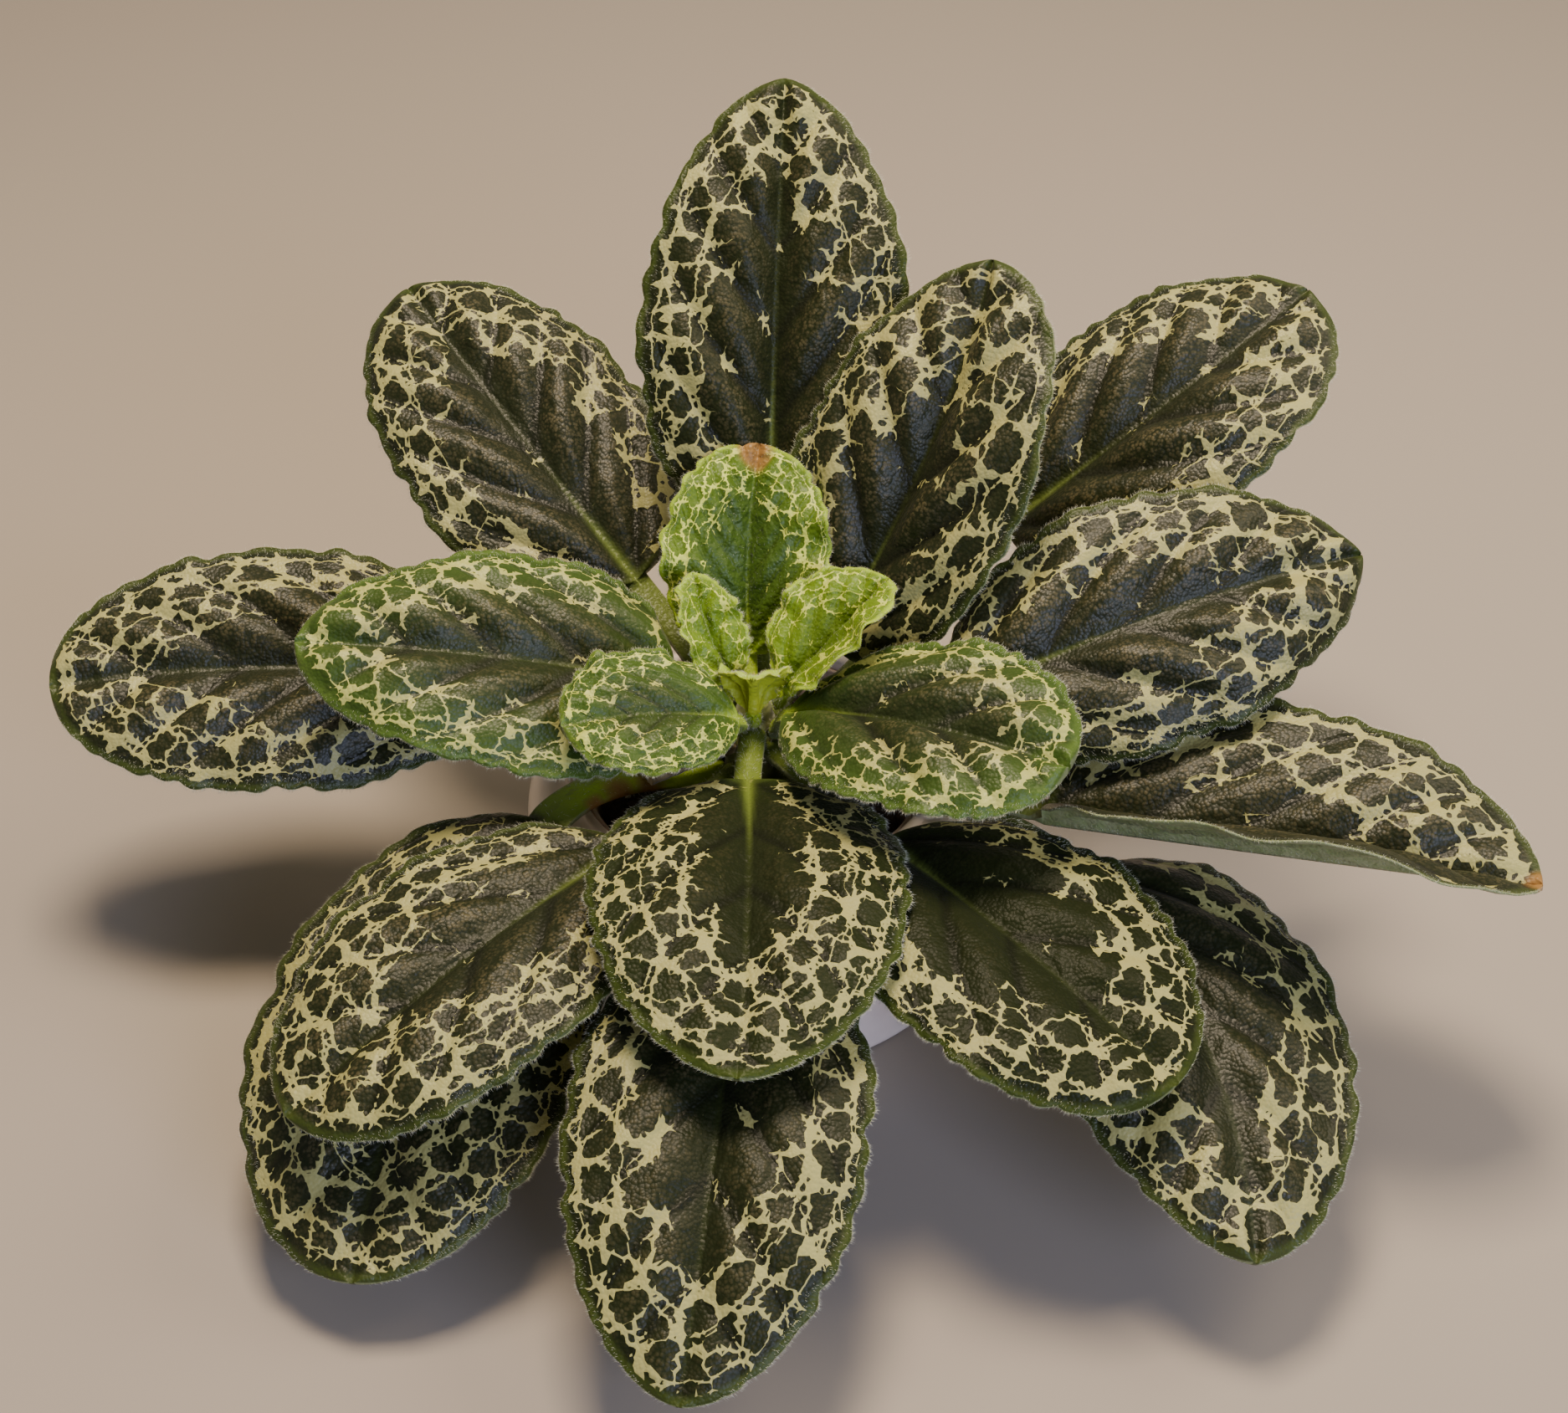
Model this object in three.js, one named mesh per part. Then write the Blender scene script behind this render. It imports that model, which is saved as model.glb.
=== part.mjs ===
// A potted primulina: a rosette of quilted, scalloped leaves on a short stem, standing in potting
// mix inside a thin grow pot, which sits in a squat round ceramic pot.
// Sizes are in millimetres and angles in degrees. The origin is the middle of the ceramic pot's flat
// base, +Z is up, and -Y is the side that the rosette leans out over.

import * as THREE from 'three';
import { mergeVertices } from 'three/addons/utils/BufferGeometryUtils.js';

const DEGREE = Math.PI / 180;
const UP = new THREE.Vector3(0, 0, 1);

// Clear space kept between pieces that touch in the real plant.
const GAP = 0.3;

// Points nearer than this are one point.
const MERGE_DISTANCE = 1e-4;

// Ceramic pot: a low drum with a rounded shoulder that draws in to the mouth.
const POT_HEIGHT = 43;
const POT_RADIUS = 45;
const POT_FOOT_ROUND = 2;
const POT_SHOULDER_HEIGHT = 31;
const POT_SHOULDER_ANGLE = 82;
const POT_SHOULDER_STEPS = 5;
const POT_LIP_RADIUS = 37.4;
const POT_LIP_THICKNESS = 2.6;
const POT_LIP_ROLL = 1;
const POT_LIP_DEPTH = 5;
const POT_WALL = 4;
const POT_FLOOR = 4;
const POT_FLOOR_ROUND = 2;
const POT_SIDES = 40;

// Grow pot: a thin tapered liner with a turned-out rim and one drain hole.
const LINER_HEIGHT = 36.5;
const LINER_FOOT_RADIUS = 27;
const LINER_RIM_RADIUS = 34.3;
const LINER_RIM_HEIGHT = 2.5;
const LINER_RIM_LEDGE = 0.9;
const LINER_WALL = 1.1;
const LINER_DRAIN_RADIUS = 5;
const LINER_SIDES = 36;

// Potting mix: fills the grow pot to a little below its rim and heaps up round the stem.
const MIX_EDGE_HEIGHT = 35.5;
const MIX_EDGE_ROUND = 1.5;
const MIX_HEAP = 1.6;
const MIX_LUMP = 0.4;
const MIX_LUMP_SPACING = 7;
const MIX_HOLE_DEPTH = 14;

// The heap's side, as shares of the mix's radius and of the heap's height.
const MIX_SIDE = [[0.72, 0.5], [0.45, 0.85]];

// Stem: stands in a plain hole in the mix and tapers to the growing tip.
const STEM_RADIUS = 6;
const STEM_TIP_RADIUS = 2.6;
const STEM_TOP = 57.5;
const STEM_BEVEL = 1;
const STEM_SIDES = 14;
const BUD_LENGTH = 6;
const BUD_RADIUS = 1.8;
const BUD_SIDES = 8;

// The bud's side, as shares of its radius and of its length.
const BUD_SIDE = [[0.7, 0], [1, 0.35], [0.6, 0.75]];

// Heights on the stem where the leaves are set, oldest lowest.
const LEVELS = [41, 44.8, 48.6, 52.2, 55.4];

// Cut stalk: what is left of a leaf that was taken off.
const CUT_STALK_LEVEL = 2;
const CUT_STALK_HEADING = 216;
const CUT_STALK_LENGTH = 19;
const CUT_STALK_SLOPE = 3;
const CUT_STALK_RADIUS = 2;
const CUT_STALK_END_RADIUS = 1.7;
const CUT_STALK_SIDES = 10;

// Leaf stalk and blade, shared by all grown leaves, and the smaller ones of the young leaves.
const GROWN = {
  stalkWidth: 5.2,
  stalkHeight: 4,
  climb: 0.3,
  ribDepth: 2,
  thickness: 0.9,
  stations: 20,
  toothDepth: 0.9,
  puff: 2,
  veinSpacing: 13.5,
  ruffle: 0.6,
};
const YOUNG = {
  stalkWidth: 3,
  stalkHeight: 2.6,
  climb: 0,
  ribDepth: 1.1,
  thickness: 0.8,
  stations: 12,
  toothDepth: 0.7,
  puff: 0.6,
  veinSpacing: 7,
  ruffle: 0.8,
};
const STALK_RINGS = 5;
const STALK_EDGE = 0.92;
const STALK_REACH = 0.35;
const COLUMNS = [-1, -0.5, 0, 0.5, 1];
const BASE_FULLNESS = 0.95;
const TIP_HALF_WIDTH = 0.6;
const TOOTH_ROUNDNESS = 0.8;
const TOOTH_REACH = 6;
const VEIN_LEAN = 0.75;
const PUFF_START = 0.22;
const RUFFLE_WAVES = 5;

// The least bend of a cross-section, so that its arc always has a centre.
const LEAST_BEND = 1e-5;

// The leaves, oldest first. level and heading say where the stalk leaves the stem, base and tip are
// the two ends of the blade's midrib, arch and sway bow it up and to the right, roll lifts the right
// half, and left and right give the rise of each half beside the midrib and at its edge. widest is
// the blade's widest place along its length, and point sharpens its tip.
const LEAVES = [
  {
    name: 'leaf_back', kind: GROWN, level: 0, heading: 82,
    base: [3, 36, 76], tip: [6, 88, 144], width: 56, widest: 0.38, point: 1.2,
    arch: 4, sway: 0, roll: 0, left: [24, -6], right: [18, -4],
  },
  {
    name: 'leaf_far_left', kind: GROWN, level: 0, heading: 143,
    base: [-50, 13, 50], tip: [-137, 5, 56], width: 54, widest: 0.5, point: 0.92,
    arch: 3, sway: 2, roll: 28, left: [12, -12], right: [12, -10],
  },
  {
    name: 'leaf_front_left_low', kind: GROWN, level: 0, heading: 204, stalkWidth: 8,
    base: [-39, -24, 46], tip: [-68, -105, 13], width: 64, widest: 0.5, point: 1,
    arch: 4, sway: 5, roll: 0, left: [8, -10], right: [8, -10],
  },
  {
    name: 'leaf_front_low', kind: GROWN, level: 0, heading: 268,
    base: [-2, -52, 46.5], tip: [-11, -135, 20], width: 54, widest: 0.46, point: 1.15,
    arch: 6, sway: -1, roll: 0, left: [12, -12], right: [12, -12],
  },
  {
    name: 'leaf_front_right_low', kind: GROWN, level: 0, heading: 320, climb: 0.64,
    base: [62, -31, 40], tip: [85, -108, 22], width: 58, widest: 0.4, point: 1.18,
    arch: 5, sway: -6, roll: 0, left: [2, -10], right: [10, -20],
  },
  {
    name: 'leaf_far_right', kind: GROWN, level: 1, heading: 36,
    base: [51, 45, 66], tip: [111, 67, 108], width: 56, widest: 0.48, point: 0.92,
    arch: 4, sway: 5, roll: -8, left: [15, -5], right: [8, -20],
  },
  {
    name: 'leaf_back_left', kind: GROWN, level: 1, heading: 116,
    base: [-24, 32, 62], tip: [-73, 87, 97], width: 54, widest: 0.45, point: 0.9,
    arch: 3, sway: -2, roll: 8, left: [4, -26], right: [16, -2],
  },
  {
    name: 'leaf_front_left', kind: GROWN, level: 1, heading: 248,
    base: [-23, -36, 51], tip: [-79, -88, 36], width: 52, widest: 0.5, point: 1,
    arch: 5, sway: -1, roll: 0, left: [12, -20], right: [12, -6],
  },
  {
    name: 'leaf_right_folded', kind: GROWN, level: 1, heading: 342, climb: 0.62,
    base: [55, -22.5, 48], tip: [140, -52, 56], width: 60, widest: 0.46, point: 1.2,
    arch: 0, sway: 0, roll: 0, left: [36, 16], right: [46, 44],
  },
  {
    name: 'leaf_right', kind: GROWN, level: 2, heading: 8, climb: 0.8,
    base: [39, -7, 62.5], tip: [115, 11, 83], width: 51, widest: 0.45, point: 1.2,
    arch: 6, sway: 3, roll: -24, left: [14, 0], right: [4, -34],
  },
  {
    name: 'leaf_back_right', kind: GROWN, level: 2, heading: 66,
    base: [15, 16, 59], tip: [46, 49, 125], width: 53, widest: 0.46, point: 1.1,
    arch: 4, sway: 6, roll: 0, left: [24, 0], right: [14, -4],
  },
  {
    name: 'leaf_left', kind: GROWN, level: 2, heading: 172,
    base: [-16, 5, 57], tip: [-86, -3, 73], width: 51, widest: 0.37, point: 1.05,
    arch: 4, sway: -3, roll: 18, left: [12, -20], right: [15, -10],
  },
  {
    name: 'leaf_front_right', kind: GROWN, level: 2, heading: 302,
    base: [24, -34, 50.5], tip: [72, -88, 44], width: 55, widest: 0.5, point: 0.95,
    arch: 5, sway: 2, roll: 0, left: [12, -6], right: [12, -22],
  },
  {
    name: 'leaf_front', kind: GROWN, level: 3, heading: 268,
    base: [-1, -20, 53], tip: [-2, -94, 52], width: 59, widest: 0.45, point: 1.2,
    arch: 5, sway: -1, roll: 0, left: [13, -13], right: [15, -13],
  },
  {
    name: 'leaf_right_inner', kind: GROWN, level: 3, heading: 328,
    base: [7, -8, 60], tip: [56, -41, 74], width: 45, widest: 0.56, point: 0.9,
    arch: 4, sway: 1, roll: -8, left: [20, -5], right: [18, -16],
  },
  {
    name: 'leaf_left_inner', kind: YOUNG, level: 3, heading: 208,
    base: [-3, -11, 61], tip: [-35, -22, 68], width: 31, widest: 0.55, point: 1,
    arch: 2, sway: 0, roll: 0, left: [8, -28], right: [35, 10],
  },
  {
    name: 'leaf_centre_back', kind: YOUNG, level: 3, heading: 95,
    base: [-1, 13, 58], tip: [1, 39, 90], width: 37, widest: 0.45, point: 1,
    arch: 2, sway: -1, roll: 0, left: [30, 10], right: [30, 10],
  },
  {
    name: 'leaf_centre_left', kind: YOUNG, level: 4, heading: 158,
    base: [-5, 2, 60], tip: [-12, 14, 77], width: 16, widest: 0.45, point: 1.2,
    arch: 1, sway: -1, roll: 0, left: [35, 20], right: [35, 20],
  },
  {
    name: 'leaf_centre_right', kind: YOUNG, level: 4, heading: 14,
    base: [6, -2, 61], tip: [26, 9, 79], width: 28, widest: 0.5, point: 1.1,
    arch: 1, sway: 1, roll: 0, left: [35, 20], right: [38, 25],
  },
  {
    name: 'leaf_centre_front', kind: YOUNG, level: 4, heading: 270,
    base: [0, -7, 60], tip: [0, -9, 69], width: 17, widest: 0.6, point: 1,
    arch: 1, sway: 0, roll: 0, left: [40, 20], right: [40, 20],
  },
];

// Colours, roughness and metalness of the pieces.
const CERAMIC = { color: 0xe4d3c8, roughness: 0.45, metalness: 0 };
const GROW_POT_PLASTIC = { color: 0xd9c0ae, roughness: 0.5, metalness: 0 };
const POTTING_MIX = { color: 0x2a211b, roughness: 1, metalness: 0 };
const STEM_SKIN = { color: 0x8a9a45, roughness: 0.8, metalness: 0 };
const OLD_BLADE = { color: 0x2f3a22, roughness: 0.5, metalness: 0 };
const YOUNG_BLADE = { color: 0x7f9a3c, roughness: 0.7, metalness: 0 };
const DRY_STALK = { color: 0x9a8a58, roughness: 0.9, metalness: 0 };

const object = new THREE.Group();

function addMesh(name, geometry, material) {
  const mesh = new THREE.Mesh(geometry, new THREE.MeshStandardMaterial(material));
  mesh.name = name;
  object.add(mesh);
}

// Turns a profile of [radius, height] points, which starts and ends on the axis, round the Z axis.
function turned(profile, sides) {
  const points = profile.map(([radius, height]) => new THREE.Vector2(radius, height));
  const geometry = new THREE.LatheGeometry(points, sides);
  geometry.rotateX(Math.PI / 2);
  geometry.deleteAttribute('normal');
  geometry.deleteAttribute('uv');
  return mergeVertices(geometry, MERGE_DISTANCE);
}

// Ceramic pot, whose shoulder is a stretch of an ellipse
function makePot() {
  const lipInner = POT_LIP_RADIUS - POT_LIP_THICKNESS;
  const bodyInner = POT_RADIUS - POT_WALL;
  const shoulder = [];
  for (let step = 0; step <= POT_SHOULDER_STEPS; step += 1) {
    const angle = POT_SHOULDER_ANGLE * DEGREE * step / POT_SHOULDER_STEPS;
    shoulder.push([
      POT_LIP_RADIUS + (POT_RADIUS - POT_LIP_RADIUS) * Math.cos(angle),
      POT_SHOULDER_HEIGHT + (POT_HEIGHT - POT_SHOULDER_HEIGHT) * Math.sin(angle),
    ]);
  }
  const profile = [
    [0, 0],
    [POT_RADIUS - POT_FOOT_ROUND, 0],
    [POT_RADIUS - POT_FOOT_ROUND * (1 - Math.SQRT1_2), POT_FOOT_ROUND * (1 - Math.SQRT1_2)],
    [POT_RADIUS, POT_FOOT_ROUND],
    ...shoulder,
    [POT_LIP_RADIUS - POT_LIP_THICKNESS / 2, POT_HEIGHT],
    [lipInner, POT_HEIGHT - POT_LIP_ROLL],
    [lipInner, POT_HEIGHT - POT_LIP_DEPTH],
    [bodyInner, POT_SHOULDER_HEIGHT - POT_LIP_ROLL],
    [bodyInner, POT_FLOOR + POT_FLOOR_ROUND],
    [bodyInner - POT_FLOOR_ROUND, POT_FLOOR],
    [0, POT_FLOOR],
  ];
  addMesh('pot', turned(profile, POT_SIDES), CERAMIC);
}

// Grow pot
const LINER_BASE = POT_FLOOR + GAP;
const LINER_TOP = LINER_BASE + LINER_HEIGHT;
const LINER_BODY_RADIUS = LINER_RIM_RADIUS - LINER_RIM_LEDGE;

function makeLiner() {
  const rimFoot = LINER_TOP - LINER_RIM_HEIGHT;
  const profile = [
    [LINER_DRAIN_RADIUS, LINER_BASE],
    [LINER_FOOT_RADIUS, LINER_BASE],
    [LINER_BODY_RADIUS, rimFoot],
    [LINER_RIM_RADIUS, rimFoot],
    [LINER_RIM_RADIUS, LINER_TOP],
    [LINER_RIM_RADIUS - LINER_WALL, LINER_TOP],
    [LINER_BODY_RADIUS - LINER_WALL, rimFoot],
    [LINER_FOOT_RADIUS - LINER_WALL, LINER_BASE + LINER_WALL],
    [LINER_DRAIN_RADIUS, LINER_BASE + LINER_WALL],
    [LINER_DRAIN_RADIUS, LINER_BASE],
  ];
  addMesh('grow_pot', turned(profile, LINER_SIDES), GROW_POT_PLASTIC);
}

// Potting mix, with a plain hole for the stem and a lumpy top
function makeMix() {
  const base = LINER_BASE + LINER_WALL + GAP;
  const hole = STEM_RADIUS + GAP;
  const heapTop = MIX_EDGE_HEIGHT + MIX_HEAP;
  const inner = LINER_FOOT_RADIUS - LINER_WALL - 2 * GAP;
  const edge = LINER_BODY_RADIUS - LINER_WALL - 6 * GAP;
  const wave = 2 * Math.PI / MIX_LUMP_SPACING;
  const profile = [
    [0, base],
    [inner, base],
    [edge, MIX_EDGE_HEIGHT - MIX_EDGE_ROUND],
    [edge - MIX_EDGE_ROUND, MIX_EDGE_HEIGHT],
    ...MIX_SIDE.map(([out, up]) => [edge * out, MIX_EDGE_HEIGHT + MIX_HEAP * up]),
    [hole, heapTop],
    [hole, heapTop - MIX_HOLE_DEPTH],
    [0, heapTop - MIX_HOLE_DEPTH],
  ];
  const geometry = turned(profile, LINER_SIDES);
  const position = geometry.attributes.position;
  for (let index = 0; index < position.count; index += 1) {
    const x = position.getX(index);
    const y = position.getY(index);
    const z = position.getZ(index);
    const radius = Math.hypot(x, y);
    if (z > MIX_EDGE_HEIGHT - GAP && radius > hole + GAP) {
      const lump = Math.sin(x * wave) * Math.cos(y * wave) + Math.sin((x + y) * wave / 2) / 2;
      position.setZ(index, z + MIX_LUMP * lump);
    }
  }
  addMesh('potting_mix', geometry, POTTING_MIX);
}

// Stem and the bud at its tip
function stemRadius(height) {
  const free = MIX_EDGE_HEIGHT + MIX_HEAP;
  const rise = Math.min(Math.max((height - free) / (STEM_TOP - free), 0), 1);
  return STEM_RADIUS + (STEM_TIP_RADIUS - STEM_RADIUS) * rise * rise;
}

function makeStem() {
  const foot = MIX_EDGE_HEIGHT + MIX_HEAP - MIX_HOLE_DEPTH + GAP;
  const profile = [[0, foot], [STEM_RADIUS - STEM_BEVEL, foot], [STEM_RADIUS, foot + STEM_BEVEL]];
  for (const height of LEVELS) {
    profile.push([stemRadius(height), height]);
  }
  profile.push(
    [STEM_TIP_RADIUS, STEM_TOP - STEM_BEVEL / 2],
    [STEM_TIP_RADIUS - STEM_BEVEL, STEM_TOP],
    [0, STEM_TOP],
  );
  addMesh('stem', turned(profile, STEM_SIDES), STEM_SKIN);

  const budFoot = STEM_TOP + GAP;
  const bud = [
    [0, budFoot],
    ...BUD_SIDE.map(([out, up]) => [BUD_RADIUS * out, budFoot + BUD_LENGTH * up]),
    [0, budFoot + BUD_LENGTH],
  ];
  addMesh('bud', turned(bud, BUD_SIDES), YOUNG_BLADE);
}

// Cut stalk: a slightly tapered rod that leaves the stem at a low slope
function makeCutStalk() {
  const height = LEVELS[CUT_STALK_LEVEL];
  const geometry = new THREE.CylinderGeometry(
    CUT_STALK_END_RADIUS, CUT_STALK_RADIUS, CUT_STALK_LENGTH, CUT_STALK_SIDES,
  );
  geometry.rotateZ(-Math.PI / 2);
  geometry.translate(CUT_STALK_LENGTH / 2, 0, 0);
  geometry.rotateY(-CUT_STALK_SLOPE * DEGREE);
  geometry.translate(stemRadius(height - CUT_STALK_RADIUS) + GAP, 0, height);
  geometry.rotateZ(CUT_STALK_HEADING * DEGREE);
  geometry.deleteAttribute('normal');
  geometry.deleteAttribute('uv');
  addMesh('cut_stalk', mergeVertices(geometry, MERGE_DISTANCE), DRY_STALK);
}

// The midrib is a quadratic curve from base to tip. Its frame has tangent, side to the right and
// normal upwards, turned by roll.
function midrib(leaf, along) {
  const base = new THREE.Vector3(...leaf.base);
  const tip = new THREE.Vector3(...leaf.tip);
  const chord = tip.clone().sub(base).normalize();
  const right = chord.clone().cross(UP).normalize();
  const above = right.clone().cross(chord);
  const middle = base.clone().add(tip).multiplyScalar(0.5);
  middle.addScaledVector(above, 2 * leaf.arch).addScaledVector(right, 2 * leaf.sway);

  const rest = 1 - along;
  const point = base.clone().multiplyScalar(rest * rest);
  point.addScaledVector(middle, 2 * along * rest).addScaledVector(tip, along * along);
  const tangent = middle.clone().sub(base).multiplyScalar(rest);
  tangent.addScaledVector(tip.clone().sub(middle), along).normalize();
  const level = right.addScaledVector(tangent, -right.dot(tangent)).normalize();
  const lift = level.clone().cross(tangent);
  const turn = leaf.roll * DEGREE;
  const side = level.clone().multiplyScalar(Math.cos(turn)).addScaledVector(lift, Math.sin(turn));
  const normal = lift.clone().multiplyScalar(Math.cos(turn)).addScaledVector(level, -Math.sin(turn));
  return { point, tangent, side, normal };
}

// Half the blade's width at an angle that runs from 0 at the base to pi at the tip. The outline is an
// ellipse whose widest place is moved along it, sharpened to the tip, blended into the stalk.
function outline(leaf, angle) {
  const shift = Math.log(leaf.widest) / Math.log(0.5);
  const along = ((1 - Math.cos(angle)) / 2) ** shift;
  const power = BASE_FULLNESS + (leaf.point - BASE_FULLNESS) * angle / Math.PI;
  const ellipse = leaf.width / 2 * Math.max(Math.sin(angle), 0) ** power;
  const stalk = leaf.stalkWidth / 2 * (1 - along);
  return { along, half: Math.max(Math.hypot(ellipse, stalk), TIP_HALF_WIDTH) };
}

// A point of the blade on its upper or lower face. across runs from -1 at the left edge to 1 at the
// right. The cross-section of each half is an arc, the blade puffs up between the side veins, which
// leave the midrib at a slant, and its edge is scalloped and gently ruffled.
function bladePoint(leaf, angle, across, upper) {
  const { along, half } = outline(leaf, angle);
  const { point, side, normal } = midrib(leaf, along);
  const hand = Math.sign(across) || 1;
  const reach = Math.abs(across);
  const spread = Math.sin(angle);
  const notch = 1 - Math.abs(Math.sin(leaf.stations * angle)) ** TOOTH_ROUNDNESS;
  const width = half - leaf.toothDepth * notch * reach ** TOOTH_REACH * spread;

  const [inner, outer] = (across > 0 ? leaf.right : leaf.left).map((rise) => rise * DEGREE);
  const bend = outer - inner + LEAST_BEND;
  const rise = inner + bend * reach;
  const out = width * (Math.sin(rise) - Math.sin(inner)) / bend;
  const lift = width * (Math.cos(inner) - Math.cos(rise)) / bend;
  const facing = normal.clone().multiplyScalar(Math.cos(rise));
  facing.addScaledVector(side, -hand * Math.sin(rise));

  const length = new THREE.Vector3(...leaf.tip).distanceTo(new THREE.Vector3(...leaf.base));
  const vein = along * length - VEIN_LEAN * reach * width;
  const hump = 0.5 - 0.5 * Math.cos(2 * Math.PI * vein / leaf.veinSpacing);
  const body = (1 - Math.exp(-((reach / PUFF_START) ** 2))) * (1 - reach * reach) * Math.sqrt(spread);
  const wave = Math.sin(2 * RUFFLE_WAVES * angle + hand) * reach ** 3 * spread;
  const puffed = leaf.puff * hump * body + leaf.ruffle * wave;

  const rib = leaf.ribDepth * (1 - along) * Math.max(0, 1 - reach * width / leaf.stalkWidth);
  const offset = upper ? leaf.thickness / 2 : -leaf.thickness / 2 - rib;
  return point
    .addScaledVector(side, hand * out)
    .addScaledVector(normal, lift)
    .addScaledVector(facing, puffed + offset);
}

// The stalk runs on a cubic curve from the stem to the blade's base. It starts outwards with a slope
// of climb, and its section goes from an oval to that of the blade.
function stalkRings(leaf) {
  const height = LEVELS[leaf.level];
  const heading = leaf.heading * DEGREE;
  const radial = new THREE.Vector3(Math.cos(heading), Math.sin(heading), 0);
  const root = radial.clone().multiplyScalar(stemRadius(height - leaf.stalkHeight / 2) + GAP);
  root.z = height;
  const end = midrib(leaf, 0);
  const span = root.distanceTo(end.point);
  const leave = radial.clone().addScaledVector(UP, leaf.climb);
  const path = new THREE.CubicBezierCurve3(
    root,
    root.clone().addScaledVector(leave, span * STALK_REACH),
    end.point.clone().addScaledVector(end.tangent, -span * STALK_REACH),
    end.point,
  );
  const startSide = radial.clone().cross(UP);
  const rings = [];
  for (let ring = 0; ring < STALK_RINGS; ring += 1) {
    const share = ring / STALK_RINGS;
    const centre = path.getPoint(share);
    const tangent = ring === 0 ? radial : path.getTangent(share);
    const side = startSide.clone().lerp(end.side, share);
    side.addScaledVector(tangent, -side.dot(tangent)).normalize();
    const normal = side.clone().cross(tangent);
    const blend = share * share;
    const place = (across, upper) => {
      const edge = across * STALK_EDGE;
      const round = Math.sqrt(1 - edge * edge) * leaf.stalkHeight / 2;
      const thin = upper ? leaf.thickness / 2 : leaf.thickness / 2 + leaf.ribDepth * (1 - Math.abs(across));
      const high = (round * (1 - blend) + thin * blend) * (upper ? 1 : -1);
      const wide = across * leaf.stalkWidth / 2;
      return centre.clone().addScaledVector(side, wide).addScaledVector(normal, high);
    };
    rings.push([
      ...COLUMNS.map((across) => place(across, true)),
      ...[...COLUMNS].reverse().map((across) => place(across, false)),
    ]);
  }
  return rings;
}

// One closed body for a leaf: stalk rings, then two faces of the blade split into triangles alike,
// joined by a rim along the edge. The edge has one more point between each two stations.
function leafGeometry(leaf) {
  const positions = [];
  const index = [];
  const add = (point) => positions.push(point.x, point.y, point.z) / 3 - 1;
  const face = (a, b, c, flip) => index.push(...(flip ? [a, c, b] : [a, b, c]));

  const upper = [];
  const lower = [];
  for (let half = 0; half <= 2 * leaf.stations; half += 1) {
    const angle = Math.PI * half / (2 * leaf.stations);
    const columns = half % 2 === 0 ? COLUMNS : [-1, 1];
    upper.push(new Map(columns.map((across) => [across, add(bladePoint(leaf, angle, across, true))])));
    lower.push(new Map(columns.map((across) => [across, add(bladePoint(leaf, angle, across, false))])));
  }
  for (let half = 0; half < 2 * leaf.stations; half += 2) {
    for (const hand of [-1, 1]) {
      for (const [rows, flip] of [[upper, hand < 0], [lower, hand > 0]]) {
        const [near, between, far] = rows.slice(half, half + 3);
        const middle = hand * 0.5;
        face(near.get(0), near.get(middle), far.get(0), flip);
        face(near.get(middle), far.get(middle), far.get(0), flip);
        face(near.get(middle), near.get(hand), between.get(hand), flip);
        face(near.get(middle), between.get(hand), far.get(middle), flip);
        face(far.get(middle), between.get(hand), far.get(hand), flip);
      }
      for (let edge = half; edge < half + 2; edge += 1) {
        const [top, under] = [upper[edge].get(hand), lower[edge].get(hand)];
        const [nextTop, nextUnder] = [upper[edge + 1].get(hand), lower[edge + 1].get(hand)];
        face(top, under, nextTop, hand < 0);
        face(under, nextUnder, nextTop, hand < 0);
      }
    }
  }

  const loop = (row) => [
    ...COLUMNS.map((across) => upper[row].get(across)),
    ...[...COLUMNS].reverse().map((across) => lower[row].get(across)),
  ];
  const rings = stalkRings(leaf).map((ring) => ring.map(add));
  rings.push(loop(0));
  const count = rings[0].length;
  for (let ring = 0; ring + 1 < rings.length; ring += 1) {
    for (let step = 0; step < count; step += 1) {
      const next = (step + 1) % count;
      face(rings[ring][step], rings[ring][next], rings[ring + 1][step]);
      face(rings[ring][next], rings[ring + 1][next], rings[ring + 1][step]);
    }
  }
  const root = rings[0];
  const tip = loop(2 * leaf.stations);
  for (let step = 1; step + 1 < count; step += 1) {
    face(root[0], root[step + 1], root[step]);
    face(tip[0], tip[step], tip[step + 1]);
  }

  const geometry = new THREE.BufferGeometry();
  geometry.setAttribute('position', new THREE.Float32BufferAttribute(positions, 3));
  geometry.setIndex(index);
  return geometry;
}

makePot();
makeLiner();
makeMix();
makeStem();
makeCutStalk();
for (const row of LEAVES) {
  const leaf = { ...row.kind, ...row };
  addMesh(leaf.name, leafGeometry(leaf), leaf.kind === YOUNG ? YOUNG_BLADE : OLD_BLADE);
}

export default object;
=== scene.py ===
# The looks of a potted primulina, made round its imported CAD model. Sizes are in millimetres where a
# name or comment says so, and meshes are in metres.

import math
from dataclasses import dataclass

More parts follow.
